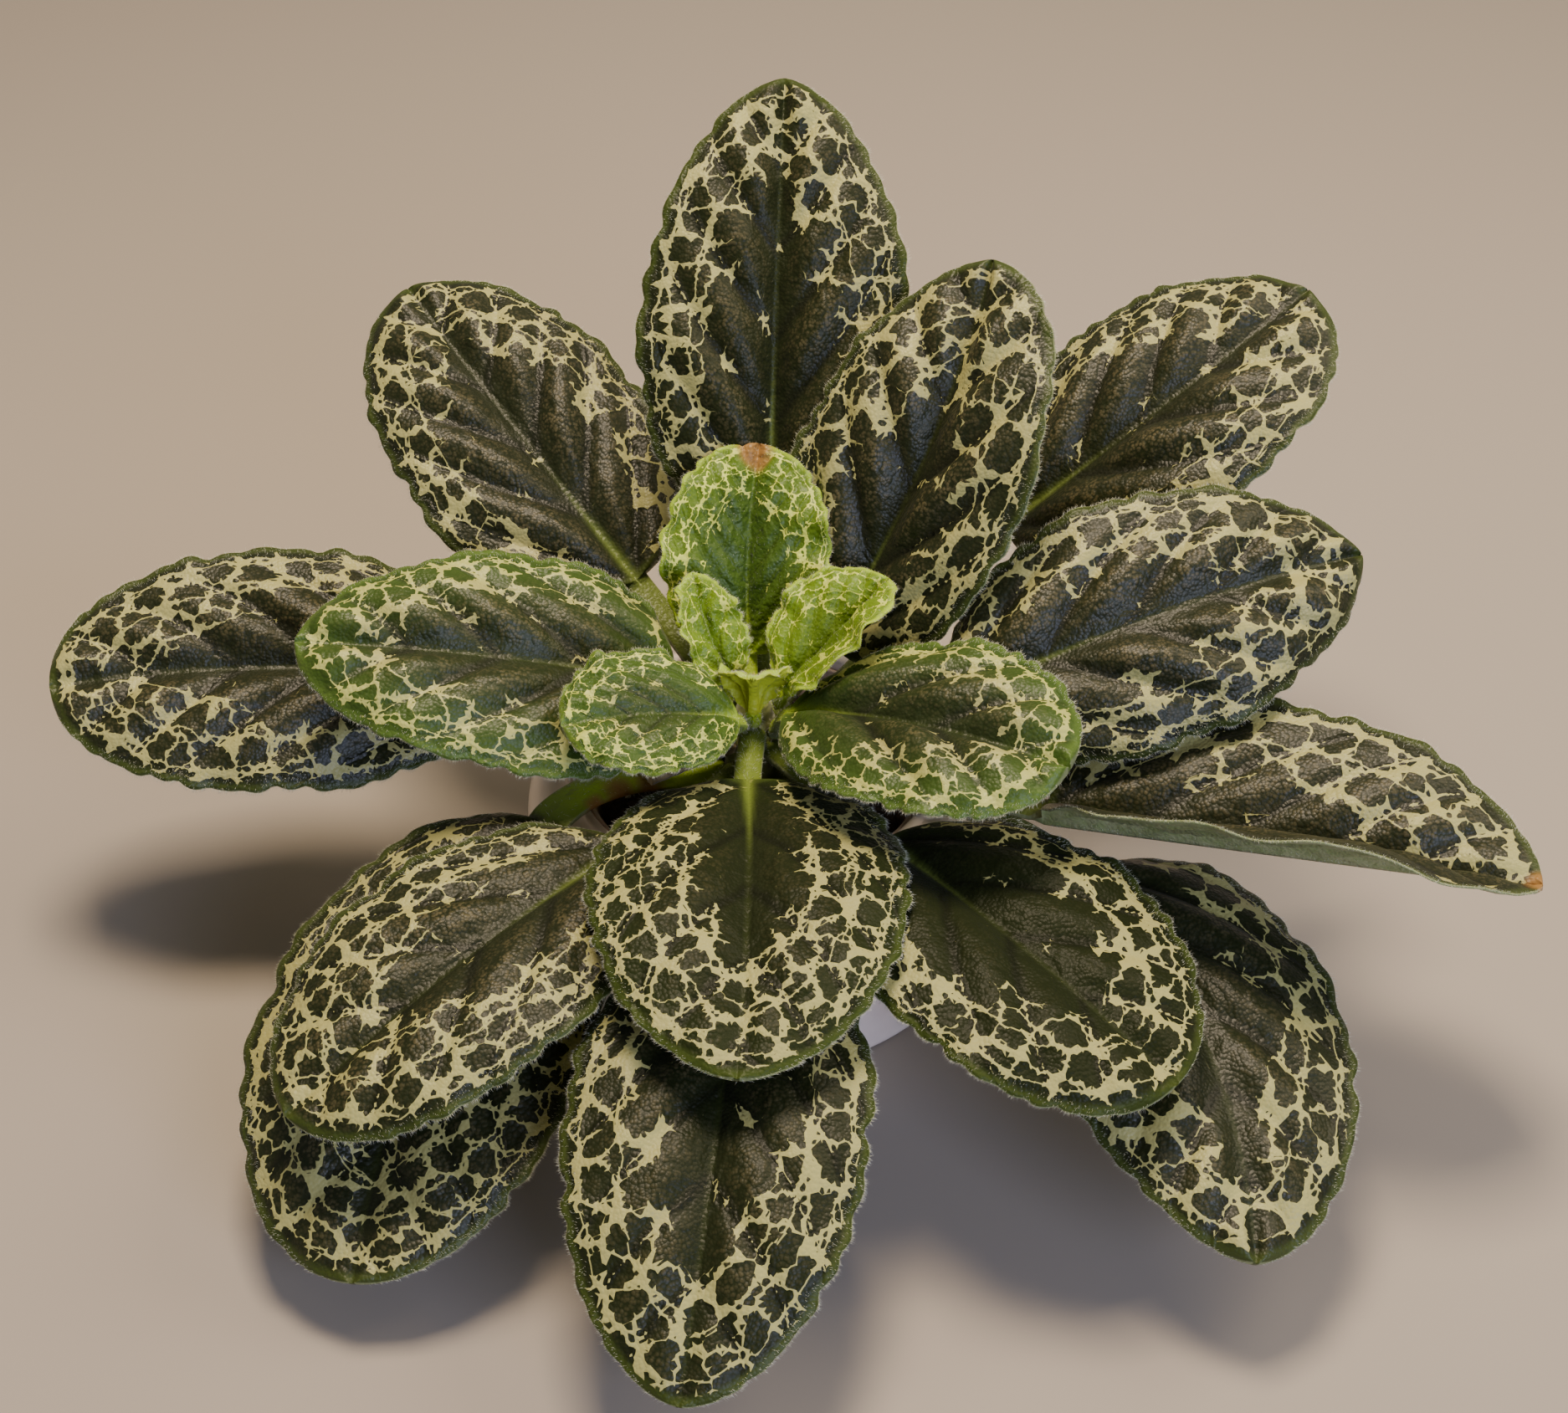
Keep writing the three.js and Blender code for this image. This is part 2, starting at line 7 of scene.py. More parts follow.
import bpy
import numpy as np
from bpy.props import FloatProperty, FloatVectorProperty, IntProperty, PointerProperty
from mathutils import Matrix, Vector


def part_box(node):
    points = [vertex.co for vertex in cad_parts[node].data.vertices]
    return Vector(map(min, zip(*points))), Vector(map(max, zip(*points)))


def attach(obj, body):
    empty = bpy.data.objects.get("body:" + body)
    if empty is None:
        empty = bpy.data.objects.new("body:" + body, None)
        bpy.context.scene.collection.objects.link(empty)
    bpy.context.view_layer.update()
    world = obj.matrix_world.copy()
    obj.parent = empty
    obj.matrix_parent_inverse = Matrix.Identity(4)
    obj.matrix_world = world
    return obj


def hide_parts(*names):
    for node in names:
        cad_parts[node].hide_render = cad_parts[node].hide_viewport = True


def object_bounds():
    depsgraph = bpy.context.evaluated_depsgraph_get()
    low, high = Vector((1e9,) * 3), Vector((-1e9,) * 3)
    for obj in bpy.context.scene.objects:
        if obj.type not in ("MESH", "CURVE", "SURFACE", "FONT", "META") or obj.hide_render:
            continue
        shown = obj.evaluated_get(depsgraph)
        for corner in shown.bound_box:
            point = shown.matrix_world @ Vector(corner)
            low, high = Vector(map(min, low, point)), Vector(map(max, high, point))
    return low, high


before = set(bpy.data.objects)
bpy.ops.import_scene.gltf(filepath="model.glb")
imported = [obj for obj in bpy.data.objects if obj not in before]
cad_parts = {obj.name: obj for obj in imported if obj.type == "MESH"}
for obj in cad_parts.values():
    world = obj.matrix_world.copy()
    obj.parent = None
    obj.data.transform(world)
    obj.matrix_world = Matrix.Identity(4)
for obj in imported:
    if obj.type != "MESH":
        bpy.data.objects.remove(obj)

CAD_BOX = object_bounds()

bl_info = {
    "name": "Potted primulina",
    "version": (1, 0, 0),
    "blender": (4, 5, 0),
    "location": "View3D > Sidebar > Plant",
    "description": "Builds the netted leaves, their down, the potting mix and the glazed pot",
    "category": "Add Mesh",
}

MM = 0.001
DEGREE = math.pi / 180
UP = np.array([0.0, 0.0, 1.0])


def linear(code):
    """Linear colour of an sRGB hex code, by the sRGB curve's two branches."""
    parts = [int(code[start:start + 2], 16) / 255 for start in (1, 3, 5)]
    return tuple(p / 12.92 if p <= 0.04045 else ((p + 0.055) / 1.055) ** 2.4 for p in parts)


def smooth(low, high, value):
    """Smoothstep: 0 below low, 1 above high, and 3t^2 - 2t^3 between."""
    t = np.clip((value - low) / (high - low), 0, 1)
    return t * t * (3 - 2 * t)


# Leaves


@dataclass(frozen=True)
class Leaf:
    """One leaf, in millimetres and degrees, with its stalk. base and tip end the midrib, which arch,
    sway and roll bend and turn. widest is where the blade is widest, as a share of its length, and
    point sharpens its tip. left and right give the rise of each half beside the midrib and at its
    edge. green runs from an old dark blade, 0, to a young lime one, 1, velvet is how much painted
    sheen pales the crests of the puffs, as if they caught the light, and gloss is low where the down
    is thick. bare widens the part without net, as a share of the half, and fineness divides the size
    of the net's cells."""

    name: str
    level: int
    heading: float
    base: tuple
    tip: tuple
    width: float
    widest: float
    point: float
    arch: float
    sway: float
    roll: float
    left: tuple
    right: tuple
    green: float = 0.0
    painted_sheen: float = 1.0
    gloss: float = 0.32
    bare: float = 0.0
    bare_right: float = 0.0
    fineness: float = 1.0
    climb: float = 0.3
    stalk_width: float = 5.2
    stalk_height: float = 4.0
    stalk_green: float = 0.0
    rib_depth: float = 2.0
    thickness: float = 0.9
    teeth: int = 20
    tooth_depth: float = 0.9
    puff: float = 2.0
    vein_spacing: float = 17.0
    ruffle: float = 0.6
    young: bool = False
    dry_spots: tuple = ()


def young_leaf(*values, **fields):
    """A young leaf: the same build, with finer teeth, veins and stalk."""
    small = dict(
        climb=0.0, stalk_width=3.0, stalk_height=2.6, rib_depth=1.1, thickness=0.8, teeth=12,
        tooth_depth=0.7, puff=0.85, vein_spacing=7.0, ruffle=0.8, young=True,
    )
    return Leaf(*values, **{**small, **fields})


# Name, level, heading, base, tip, width, widest, point, arch, sway, roll, left and right.
LEAVES = [
    Leaf("leaf_back", 0, 82, (3, 36, 76), (6, 88, 144), 56, 0.38, 1.2, 4, 0, 0,
         (24, -6), (18, -4), painted_sheen=0.7, gloss=0.2),
    Leaf("leaf_far_left", 0, 143, (-50, 13, 50), (-137, 5, 56), 54, 0.5, 0.92, 3, 2, 28,
         (12, -12), (12, -10)),
    Leaf("leaf_front_left_low", 0, 204, (-39, -24, 46), (-68, -105, 13), 64, 0.5, 1, 4, 5, 0,
         (8, -10), (8, -10), stalk_width=8.0, stalk_green=2.2,
         dry_spots=((-21, -12, 44, 5), (-26, -15, 45, 5), (-30, -19, 46, 3)),
         puff=1.1, painted_sheen=0.8, fineness=1.1),
    Leaf("leaf_front_low", 0, 268, (-2, -52, 46.5), (-11, -135, 20), 54, 0.46, 1.15, 6, -1, 0,
         (12, -12), (12, -12), puff=1.0, painted_sheen=0.6, gloss=0.2),
    Leaf("leaf_front_right_low", 0, 320, (62, -31, 40), (85, -108, 22), 58, 0.4, 1.18, 5, -6, 0,
         (2, -10), (10, -20), climb=0.64, puff=1.7, painted_sheen=0.6, bare=0.06, fineness=0.9),
    Leaf("leaf_far_right", 1, 36, (51, 45, 66), (111, 67, 108), 56, 0.48, 0.92, 4, 5, -8,
         (15, -5), (8, -20), bare=0.12),
    Leaf("leaf_back_left", 1, 116, (-24, 32, 62), (-73, 87, 97), 54, 0.45, 0.9, 3, -2, 8,
         (4, -26), (16, -2)),
    Leaf("leaf_front_left", 1, 248, (-23, -36, 51), (-79, -88, 36), 52, 0.5, 1.0, 5, -1, 0,
         (12, -20), (12, -6), puff=1.1, gloss=0.24, fineness=1.15),
    Leaf("leaf_right_folded", 1, 342, (55, -22.5, 48), (140, -52, 56), 60, 0.46, 1.2, 0, 0, 0,
         (36, 16), (45, 43), climb=0.62, puff=1.3, bare=-0.1, bare_right=1.0, fineness=0.85,
         dry_spots=((140, -52, 56, 4),)),
    Leaf("leaf_right", 2, 8, (39, -7, 62.5), (115, 11, 83), 51, 0.45, 1.2, 6, 3, -24,
         (14, 0), (4, -34), climb=0.8, bare=-0.05),
    Leaf("leaf_back_right", 2, 66, (15, 16, 59), (46, 49, 125), 53, 0.46, 1.1, 4, 6, 0,
         (24, 0), (14, -4), green=0.05),
    Leaf("leaf_left", 2, 172, (-16, 5, 57), (-86, -3, 73), 51, 0.37, 1.05, 4, -3, 18,
         (12, -20), (15, -10), green=0.32, fineness=1.15),
    Leaf("leaf_front_right", 2, 302, (24, -34, 50.5), (72, -88, 44), 55, 0.5, 0.95, 5, 2, 0,
         (12, -6), (12, -22), puff=1.1, painted_sheen=0.1, gloss=0.11, bare=0.12, fineness=1.1),
    Leaf("leaf_front", 3, 268, (-1, -20, 53), (-2, -94, 52), 59, 0.45, 1.2, 5, -1, 0,
         (13, -13), (15, -13), green=0.08, puff=0.9, painted_sheen=0.3, gloss=0.12, bare=-0.14,
         fineness=1.2),
    Leaf("leaf_right_inner", 3, 328, (7, -8, 60), (56, -41, 74), 45, 0.56, 0.9, 4, 1, -8,
         (20, -5), (18, -16), green=0.33, fineness=1.3),
    young_leaf("leaf_left_inner", 3, 208, (-3, -11, 61), (-35, -22, 68), 31, 0.55, 1, 2, 0, 0,
               (8, -28), (35, 10), green=0.5, bare_right=0.2),
    young_leaf("leaf_centre_back", 3, 95, (-1, 13, 58), (1, 39, 90), 37, 0.45, 1, 2, -1, 0,
               (30, 10), (30, 10), green=0.72, puff=1.1, tooth_depth=1.0, ruffle=1.2,
               dry_spots=((0, 38, 89, 5), (2, 37, 87, 4))),
    young_leaf("leaf_centre_left", 4, 158, (-5, 2, 60), (-12, 14, 77), 16, 0.45, 1.2, 1, -1, 0,
               (35, 20), (35, 20), green=0.95),
    young_leaf("leaf_centre_right", 4, 14, (6, -2, 61), (26, 9, 79), 28, 0.5, 1.1, 1, 1, 0,
               (35, 20), (38, 25), green=0.9),
    young_leaf("leaf_centre_front", 4, 270, (0, -7, 60), (0, -9, 69), 17, 0.6, 1, 1, 0, 0,
               (40, 20), (40, 20), green=1.0),
]

# Heights on the stem where the leaves are set, and the stem, in millimetres.
LEVELS = (41.0, 44.8, 48.6, 52.2, 55.4)
STEM_RADIUS = 6.0
STEM_TIP_RADIUS = 2.6
STEM_TOP = 57.5
MIX_TOP = 37.1
STALK_GAP = 0.3

# Shape shared by all blades, as in the CAD solids.
BASE_FULLNESS = 0.95
TIP_HALF_WIDTH = 0.6
TOOTH_REACH = 6
RUFFLE_WAVES = 5
STALK_REACH = 0.35

# Fine shape that the CAD solids leave out. The side veins slant more here. The swellings between
# them stand higher, with sharp creases, and start nearer the midrib. EDGE_THINNING is a share of the
# thickness, and other depths, widths and wanders are in millimetres.
PUFF_GAIN = 2.15
PUFF_START = 0.18
TOOTH_ROUNDNESS = 1.1
TOOTH_GAIN = 1.25
CREASE = 0.78
TIP_FLATNESS = 0.6
PUFF_UNEVENNESS = 0.25
VEIN_LEAN = 1.35
VEIN_WANDER = 1.3
WAVE_DEPTH = 0.7
EDGE_WANDER = 0.25
LOBE_DEPTH = 0.6
EDGE_THINNING = 0.55
GROOVE_DEPTH = 0.15
GROOVE_WIDTH = 0.9
EDGE_SAMPLES = 500
NEXT_NET = 397.0

# How far out the net starts, as shares of the half width: where it starts on average, how much that
# differs from leaf to leaf, how much nearer the midrib it is at the tip, and its fade.
NET_START = 0.28
NET_START_RANGE = 0.06
NET_TIP_REACH = 0.5
NET_FADE = 0.42

# Grid of a blade face: rows along it and columns across it, and rings along its stalk.
GROWN_GRID = (120, 57, 22)
YOUNG_GRID = (84, 45, 12)


def stem_radius(height):
    """Stem radius at a height: it narrows to the tip with the square of the rise."""
    rise = np.clip((height - MIX_TOP) / (STEM_TOP - MIX_TOP), 0, 1)
    return STEM_RADIUS + (STEM_TIP_RADIUS - STEM_RADIUS) * rise * rise


def unit(vectors):
    """Vectors divided by their own lengths."""
    return vectors / np.linalg.norm(vectors, axis=-1, keepdims=True)


def midrib(leaf, along):
    """Point, tangent, side and normal of the midrib: a quadratic curve from base to tip whose middle
    handle is moved up by twice the arch and to the right by twice the sway, turned by roll."""
    base = np.array(leaf.base, float)
    tip = np.array(leaf.tip, float)
    chord = unit(tip - base)
    right = unit(np.cross(chord, UP))
    above = np.cross(right, chord)
    middle = (base + tip) / 2 + 2 * leaf.arch * above + 2 * leaf.sway * right
    t = np.asarray(along, float)[..., None]
    point = base * (1 - t) ** 2 + middle * 2 * t * (1 - t) + tip * t * t
    tangent = unit((middle - base) * (1 - t) + (tip - middle) * t)
    level = unit(right - tangent * (tangent @ right)[..., None])
    lift = np.cross(level, tangent)
    turn = leaf.roll * DEGREE
    side = level * math.cos(turn) + lift * math.sin(turn)
    normal = lift * math.cos(turn) - level * math.sin(turn)
    return point, tangent, side, normal


def outline(leaf, theta):
    """Place along the blade and half its width at an angle from 0 at the base to pi at the tip: an
    ellipse with its widest place moved, sharpened to the tip and blended into the stalk."""
    along = ((1 - np.cos(theta)) / 2) ** (math.log(leaf.widest) / math.log(0.5))
    power = BASE_FULLNESS + (leaf.point - BASE_FULLNESS) * theta / math.pi
    ellipse = leaf.width / 2 * np.clip(np.sin(theta), 0, 1) ** power
    stalk = leaf.stalk_width / 2 * (1 - along)
    return along, np.maximum(np.hypot(ellipse, stalk), TIP_HALF_WIDTH)


def blade_length(leaf):
    """Straight length of the midrib, in millimetres."""
    return math.dist(leaf.base, leaf.tip)


def leaf_reach(leaf):
    """Distance of the blade's base from the plant's middle, about the length of the stalk."""
    return math.hypot(leaf.base[0], leaf.base[1])


def vein_count(leaf, along, half, across):
    """How many side veins lie between the base and a point. It is whole on a vein. Veins slant
    towards the tip and wander, and differ on the two halves."""
    reach = np.abs(across)
    hand = np.where(across < 0, -1.0, 1.0)
    vein = along * blade_length(leaf) - VEIN_LEAN * half * reach * (0.8 + 0.3 * reach)
    vein = vein + VEIN_WANDER * np.sin(5 * along + leaf.heading + hand) * reach
    return vein / leaf.vein_spacing


def swelling(leaf, theta, across):
    """Height of the skin between the side veins, from 0 on a vein, the midrib or the edge to 1: a
    rectified sine across the veins, lower between some of them, times a rise beside the midrib and a
    fall to the edge."""
    along, half = outline(leaf, theta)
    reach = np.abs(across)
    vein = vein_count(leaf, along, half, across)
    hump = np.abs(np.sin(math.pi * vein)) ** CREASE
    hump = hump * (1 - PUFF_UNEVENNESS * (1 + np.sin(3.7 * np.floor(vein) + np.sign(across))) / 2)
    rise = 1 - np.exp(-((reach / PUFF_START) ** 2))
    return hump * rise * (1 - reach * reach) ** 1.5 * np.sqrt(np.abs(np.sin(theta)))


def blade(leaf, theta, across, face):
    """Point and facing of the blade. across runs from -1 at the left edge to 1 at the right, and face
    from -1, the lower face, to 1, the upper one. Each half's cross-section is an arc, the blade puffs
    up between slanting side veins, and its edge is scalloped and ruffled."""
    theta, across = np.broadcast_arrays(theta, across)
    along, half = outline(leaf, theta)
    point, tangent, side, normal = midrib(leaf, along)
    hand = np.where(across < 0, -1.0, 1.0)
    reach = np.abs(across)
    spread = np.sin(theta)
    notch = 1 - np.abs(np.sin(leaf.teeth * theta)) ** TOOTH_ROUNDNESS
    lobe = np.abs(np.cos(math.pi * vein_count(leaf, along, half, hand))) ** 3
    wander = EDGE_WANDER * (1 + np.sin(7.3 * theta + leaf.heading + 2 * hand))
    depth = TOOTH_GAIN * leaf.tooth_depth * (0.85 + 0.45 * np.sin(11 * theta + leaf.heading + hand))
    cut = depth * notch + LOBE_DEPTH * lobe + wander
    width = half - cut * reach ** TOOTH_REACH * spread

    inner = np.where(hand > 0, leaf.right[0], leaf.left[0]) * DEGREE
    inner = inner * (1 - TIP_FLATNESS * smooth(0.65, 1, along))
    bend = np.where(hand > 0, leaf.right[1], leaf.left[1]) * DEGREE - inner + 1e-5
    rise = inner + bend * reach
    out = width * (np.sin(rise) - np.sin(inner)) / bend
    lift = width * (np.cos(inner) - np.cos(rise)) / bend
    facing = normal * np.cos(rise)[..., None] - side * (hand * np.sin(rise))[..., None]

    wave = np.sin(2 * RUFFLE_WAVES * theta + hand) + 0.5 * np.sin(17 * theta + leaf.heading)
    wave = leaf.ruffle * wave * reach ** 3 * spread
    wave = wave + WAVE_DEPTH * np.sin(7 * along + leaf.heading) * np.sin(math.pi * reach) * spread
    groove = GROOVE_DEPTH * np.exp(-((reach * width / GROOVE_WIDTH) ** 2)) * spread
    puffed = PUFF_GAIN * leaf.puff * swelling(leaf, theta, across) + wave - groove

    rib = leaf.rib_depth * (1 - along) * np.clip(1 - reach * width / leaf.stalk_width, 0, 1)
    thin = leaf.thickness / 2 * (1 - EDGE_THINNING * reach ** 4)
    offset = puffed + np.where(face > 0, face * thin, face * (thin + rib))
    where = point + side * (hand * out)[..., None] + normal * lift[..., None]
    return where + facing * offset[..., None], facing


def stalk(leaf, share, across, face):
    """Point of the stalk at a share of the way from the stem to the blade: a cubic curve that leaves
    the stem outwards with a slope of climb, with a section that goes from an oval to the blade's."""
    share, across = np.broadcast_arrays(share, across)
    height = LEVELS[leaf.level]
    heading = leaf.heading * DEGREE
    radial = np.array([math.cos(heading), math.sin(heading), 0])
    root = radial * (stem_radius(height - leaf.stalk_height / 2) + STALK_GAP) + height * UP
    end, tangent, side, _ = midrib(leaf, 0.0)
    span = np.linalg.norm(root - end)
    points = [
        root,
        root + (radial + leaf.climb * UP) * span * STALK_REACH,
        end - tangent * span * STALK_REACH,
        end,
    ]
    t = share[..., None]
    weights = [(1 - t) ** 3, 3 * t * (1 - t) ** 2, 3 * t * t * (1 - t), t ** 3]
    centre = sum(weight * point for weight, point in zip(weights, points))
    slopes = [3 * (1 - t) ** 2, 6 * t * (1 - t), 3 * t * t]
    course = unit(sum(s * (b - a) for s, a, b in zip(slopes, points, points[1:])))
    course = np.where(t < 1e-6, radial, course)
    side = np.cross(radial, UP) * (1 - t) + side * t
    side = unit(side - course * np.sum(side * course, axis=-1, keepdims=True))
    normal = np.cross(side, course)
    blend = share * share
    round_half = np.sqrt(np.clip(1 - (0.985 * across) ** 2, 0, 1)) * leaf.stalk_height / 2
    rib = np.where(face < 0, leaf.rib_depth * (1 - np.abs(across)), 0)
    high = round_half * (1 - blend) + (leaf.thickness / 2 + rib) * blend
    wide = across * leaf.stalk_width / 2
    facing = normal * np.asarray(face)[..., None]
    return centre + side * wide[..., None] + facing * high[..., None], facing


def grid_faces(rows, columns, first=0, flip=False):
    """Quads between neighbouring rows of a grid of points, numbered row by row."""
    start = first + (np.arange(rows - 1)[:, None] * columns + np.arange(columns - 1)[None, :]).ravel()
    quads = np.stack([start, start + 1, start + columns + 1, start + columns], axis=1)
    return quads[:, ::-1] if flip else quads


def kept_inside(points):
    """Points in millimetres, moved onto the sides of the CAD model's box where they pass them."""
    low, high = (np.array(corner) / MM for corner in CAD_BOX)
    return np.clip(points, low, high)


def make_mesh(name, points, quads, triangles=()):
    """Mesh object of points in metres, with quads and triangles that list them."""
    quads = np.asarray(quads, int).reshape(-1, 4)
    triangles = np.asarray(triangles, int).reshape(-1, 3)
    corners = np.concatenate([quads.ravel(), triangles.ravel()])
    sizes = np.concatenate([np.full(len(quads), 4), np.full(len(triangles), 3)])
    mesh = bpy.data.meshes.new(name)
    mesh.vertices.add(len(points))
    mesh.vertices.foreach_set("co", np.asarray(points, np.float32).ravel())
    mesh.loops.add(len(corners))
    mesh.loops.foreach_set("vertex_index", corners.astype(np.int32))
    mesh.polygons.add(len(sizes))
    mesh.polygons.foreach_set("loop_start", (np.cumsum(sizes) - sizes).astype(np.int32))
    mesh.polygons.foreach_set("use_smooth", np.ones(len(sizes), bool))
    mesh.update(calc_edges=True)
    mesh.validate()
    obj = bpy.data.objects.new(name, mesh)
    bpy.context.scene.collection.objects.link(obj)
    return obj


def add_values(obj, name, kind, values):
    """Stores a value, vector or colour per point under a name that a material reads."""
    key = {"FLOAT": "value", "FLOAT_VECTOR": "vector", "FLOAT_COLOR": "color"}[kind]
    layer = obj.data.attributes.new(name, kind, "POINT")
    layer.data.foreach_set(key, np.asarray(values, np.float32).ravel())


def place_piece(obj, nodes, material):
    """Gives a finished piece its material and body, and hides the CAD nodes that it stands for."""
    obj.data.materials.append(material)
    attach(obj, "root")
    if nodes:
        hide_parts(*nodes)


def edge_distance(leaf, theta, across):
    """Flat distance in millimetres of each point from the nearest place on the blade's edge."""
    along, half = outline(leaf, theta)
    length = blade_length(leaf)
    edge_along, edge_half = outline(leaf, np.linspace(0, math.pi, EDGE_SAMPLES))
    out = (np.abs(across) * half)[..., None]
    up = (along * length)[..., None]
    return np.hypot(out - edge_half, up - edge_along * length).min(axis=-1)


def leaf_values(leaf, number, theta, across):
    """What the leaf's material reads at each point. The place is the distance from the midrib, the
    distance from the base and the count of side veins. The distance from the edge comes next, then
    how far the net shows, how much painted sheen the crests of the swellings get, and the midrib.
    The tone goes from an old dark skin to a young lime one."""
    theta, across = np.broadcast_arrays(theta, across)
    along, half = outline(leaf, theta)
    reach = np.abs(across)
    edge = edge_distance(leaf, theta, across)
    vein = vein_count(leaf, along, half, across)
    out = leaf.fineness * across * half + NEXT_NET * number
    place = np.stack([out, leaf.fineness * along * blade_length(leaf), vein], axis=-1)
    tipward = smooth(0.45, 0.9, along)
    inner = NET_START + leaf.bare + NET_START_RANGE * math.sin(2.4 * number) - NET_TIP_REACH * tipward
    inner = inner + np.where(across > 0, leaf.bare_right, 0)
    ink = smooth(inner, inner + NET_FADE, reach)
    # Painted sheen: the crests of the swellings are painted paler, as if lit, by each leaf's own
    # amount.
    crest_sheen = leaf.painted_sheen * swelling(leaf, theta, across)
    rib_width = 0.3 + 0.9 * (1 - smooth(0, 0.35, along))
    rib = np.exp(-((reach * half / rib_width) ** 2)) * (1 - 0.94 * smooth(0.02, 0.4, along))
    centre = smooth(0.1, 0.75, edge / (leaf.width / 2))
    tone = leaf.green * (1.1 - (1.02 - 0.9 * leaf.green) * centre)
    tone = tone + 0.3 * leaf.green * (1 - smooth(0, 0.12, along))
    return place, edge, ink, crest_sheen, rib, np.clip(tone, 0, 1)


def make_leaf(leaf, number, material):
    """One closed mesh for a leaf: rings of the stalk, then the two faces of the blade."""
    rows, columns, rings = YOUNG_GRID if leaf.young else GROWN_GRID
    across = np.linspace(-1, 1, columns)[None, :]
    theta = np.linspace(0, math.pi, rows)[:, None]
    share = (np.arange(rings) / rings)[:, None]
    total = rings + rows
    count = total * columns
    points = []
    for face in (1.0, -1.0):
        blade_points, _ = blade(leaf, theta, across, face)
        stalk_points, _ = stalk(leaf, share, across, face)
        points += [stalk_points.reshape(-1, 3), blade_points.reshape(-1, 3)]
    points = kept_inside(np.concatenate(points))

    place, edge, ink, crest_sheen, rib, tone = leaf_values(leaf, number, theta, across)
    on_stalk = np.broadcast_to(place[:1], (rings, columns, 3)).copy()
    on_stalk[..., 1] -= (1 - share) * leaf_reach(leaf)
    place = np.concatenate([on_stalk, place])
    edge = np.concatenate([np.broadcast_to(edge[:1], (rings, columns)), edge])
    blank = np.zeros((rings, columns))
    # The zone's first three channels: how far the net shows, the painted sheen on the crests, and the
    # midrib.
    zone = [np.concatenate([blank + first, layer]) for first, layer in ((0, ink), (0, crest_sheen), (1, rib))]
    tone = np.concatenate([blank + tone[0] + leaf.stalk_green * (1 - share), tone])

    quads = [grid_faces(total, columns, 0, flip=True), grid_faces(total, columns, count)]
    rim = np.arange(total - 1) * columns
    end = np.arange(columns - 1)
    for top, step, flip in (
        (rim, columns, True),
        (rim + columns - 1, columns, False),
        (end, 1, False),
        (end + count - columns, 1, True),
    ):
        strip = np.stack([top, top + step, top + step + count, top + count], axis=1)
        quads.append(strip[:, ::-1] if flip else strip)
    quads = np.concatenate(quads)
    obj = make_mesh(leaf.name + "_skin", points * MM, quads)

    add_values(obj, "net_place", "FLOAT_VECTOR", np.tile(place.reshape(-1, 3), (2, 1)))
    add_values(obj, "edge_distance", "FLOAT", np.tile(edge.ravel(), 2))
    under = np.zeros((2, total, columns))
    under[1, rings:] = 1
    layers = [np.tile(layer.ravel(), 2) for layer in zone] + [under.ravel()]
    add_values(obj, "zone", "FLOAT_COLOR", np.stack(layers, axis=1))
    add_values(obj, "tone", "FLOAT", np.tile(tone.ravel(), 2))
    dry = np.zeros(len(points))
    for x, y, z, radius in leaf.dry_spots:
        away = np.linalg.norm(points - np.array([x, y, z]), axis=1)
        dry = np.maximum(dry, 1 - smooth(0.5 * radius, radius, away))
    add_values(obj, "dry", "FLOAT", dry)
    add_values(obj, "gloss", "FLOAT", np.full(len(points), leaf.gloss))
    place_piece(obj, [leaf.name], material)


# Materials


def add_node(tree, kind, inputs=None, output=None, **settings):
    """Adds one node with its settings, sets or links its inputs, and gives the node or an output."""
    made = tree.nodes.new(kind)
    for name, value in settings.items():
        setattr(made, name, value)
    for key, value in (inputs or {}).items():
        if isinstance(value, bpy.types.NodeSocket):
            tree.links.new(value, made.inputs[key])
        else:
            made.inputs[key].default_value = value
    return made if output is None else made.outputs[output]


def new_material(name, **shader):
    """A material with one principled shader, whose constant values are set on its own sockets."""
    material = bpy.data.materials.new(name)
    material.use_nodes = True
    tree = material.node_tree
    tree.nodes.clear()
    bsdf = add_node(tree, "ShaderNodeBsdfPrincipled", shader)
    add_node(tree, "ShaderNodeOutputMaterial", {"Surface": bsdf.outputs[0]})
    return material, tree, bsdf


def rgba(colour):
    """A colour with full alpha."""
    return (*colour[:3], 1.0)


# Fixed colours of the leaf skin, beside the ones among the settings.
LEAF_COLOURS = {
    # Painted sheen for the crests of the puffs, a colour that stands in for light caught there.
    "painted_sheen": "#5a5338",
    "green": "#385015",
    "lime": "#5f7a14",
    "green_margin": "#4c6524",
    "lime_margin": "#93ae2c",
    "lime_net": "#b9c556",
    "lime_back": "#a3ad2e",
    "under_shade": "#7d8a58",
    # Painted shade, laid in the folds along the side veins.
    "shade": "#0d0f06",
    "rib": "#5c6b2c",
    "downy_edge": "#79825a",
    "dry": "#8a6735",
}

# The pebble on the skin, in millimetres, a little coarser than life so that it shows. Reliefs are a
# strength and a depth in metres.
PEBBLE = 0.7
PEBBLE_RELIEF = (0.55, 0.00022)
PATCH_RELIEF = (0.5, 0.0005)

# Sizes of the net, in its cells: half the width of its thinnest line, how far apart the side veins
# and the arcs lie, the first arc's distance from the edge, and how far the lines waver and blend. A
# lobe's half width is in the finer cells.
THINNEST_LINE = 0.03
WIDEST_LOBE = 0.33
VEINS_APART = 2.1
ARCS_APART = 1.05
ARC_PLACE = 0.55
WAVER = 0.5
BLEND = 0.06

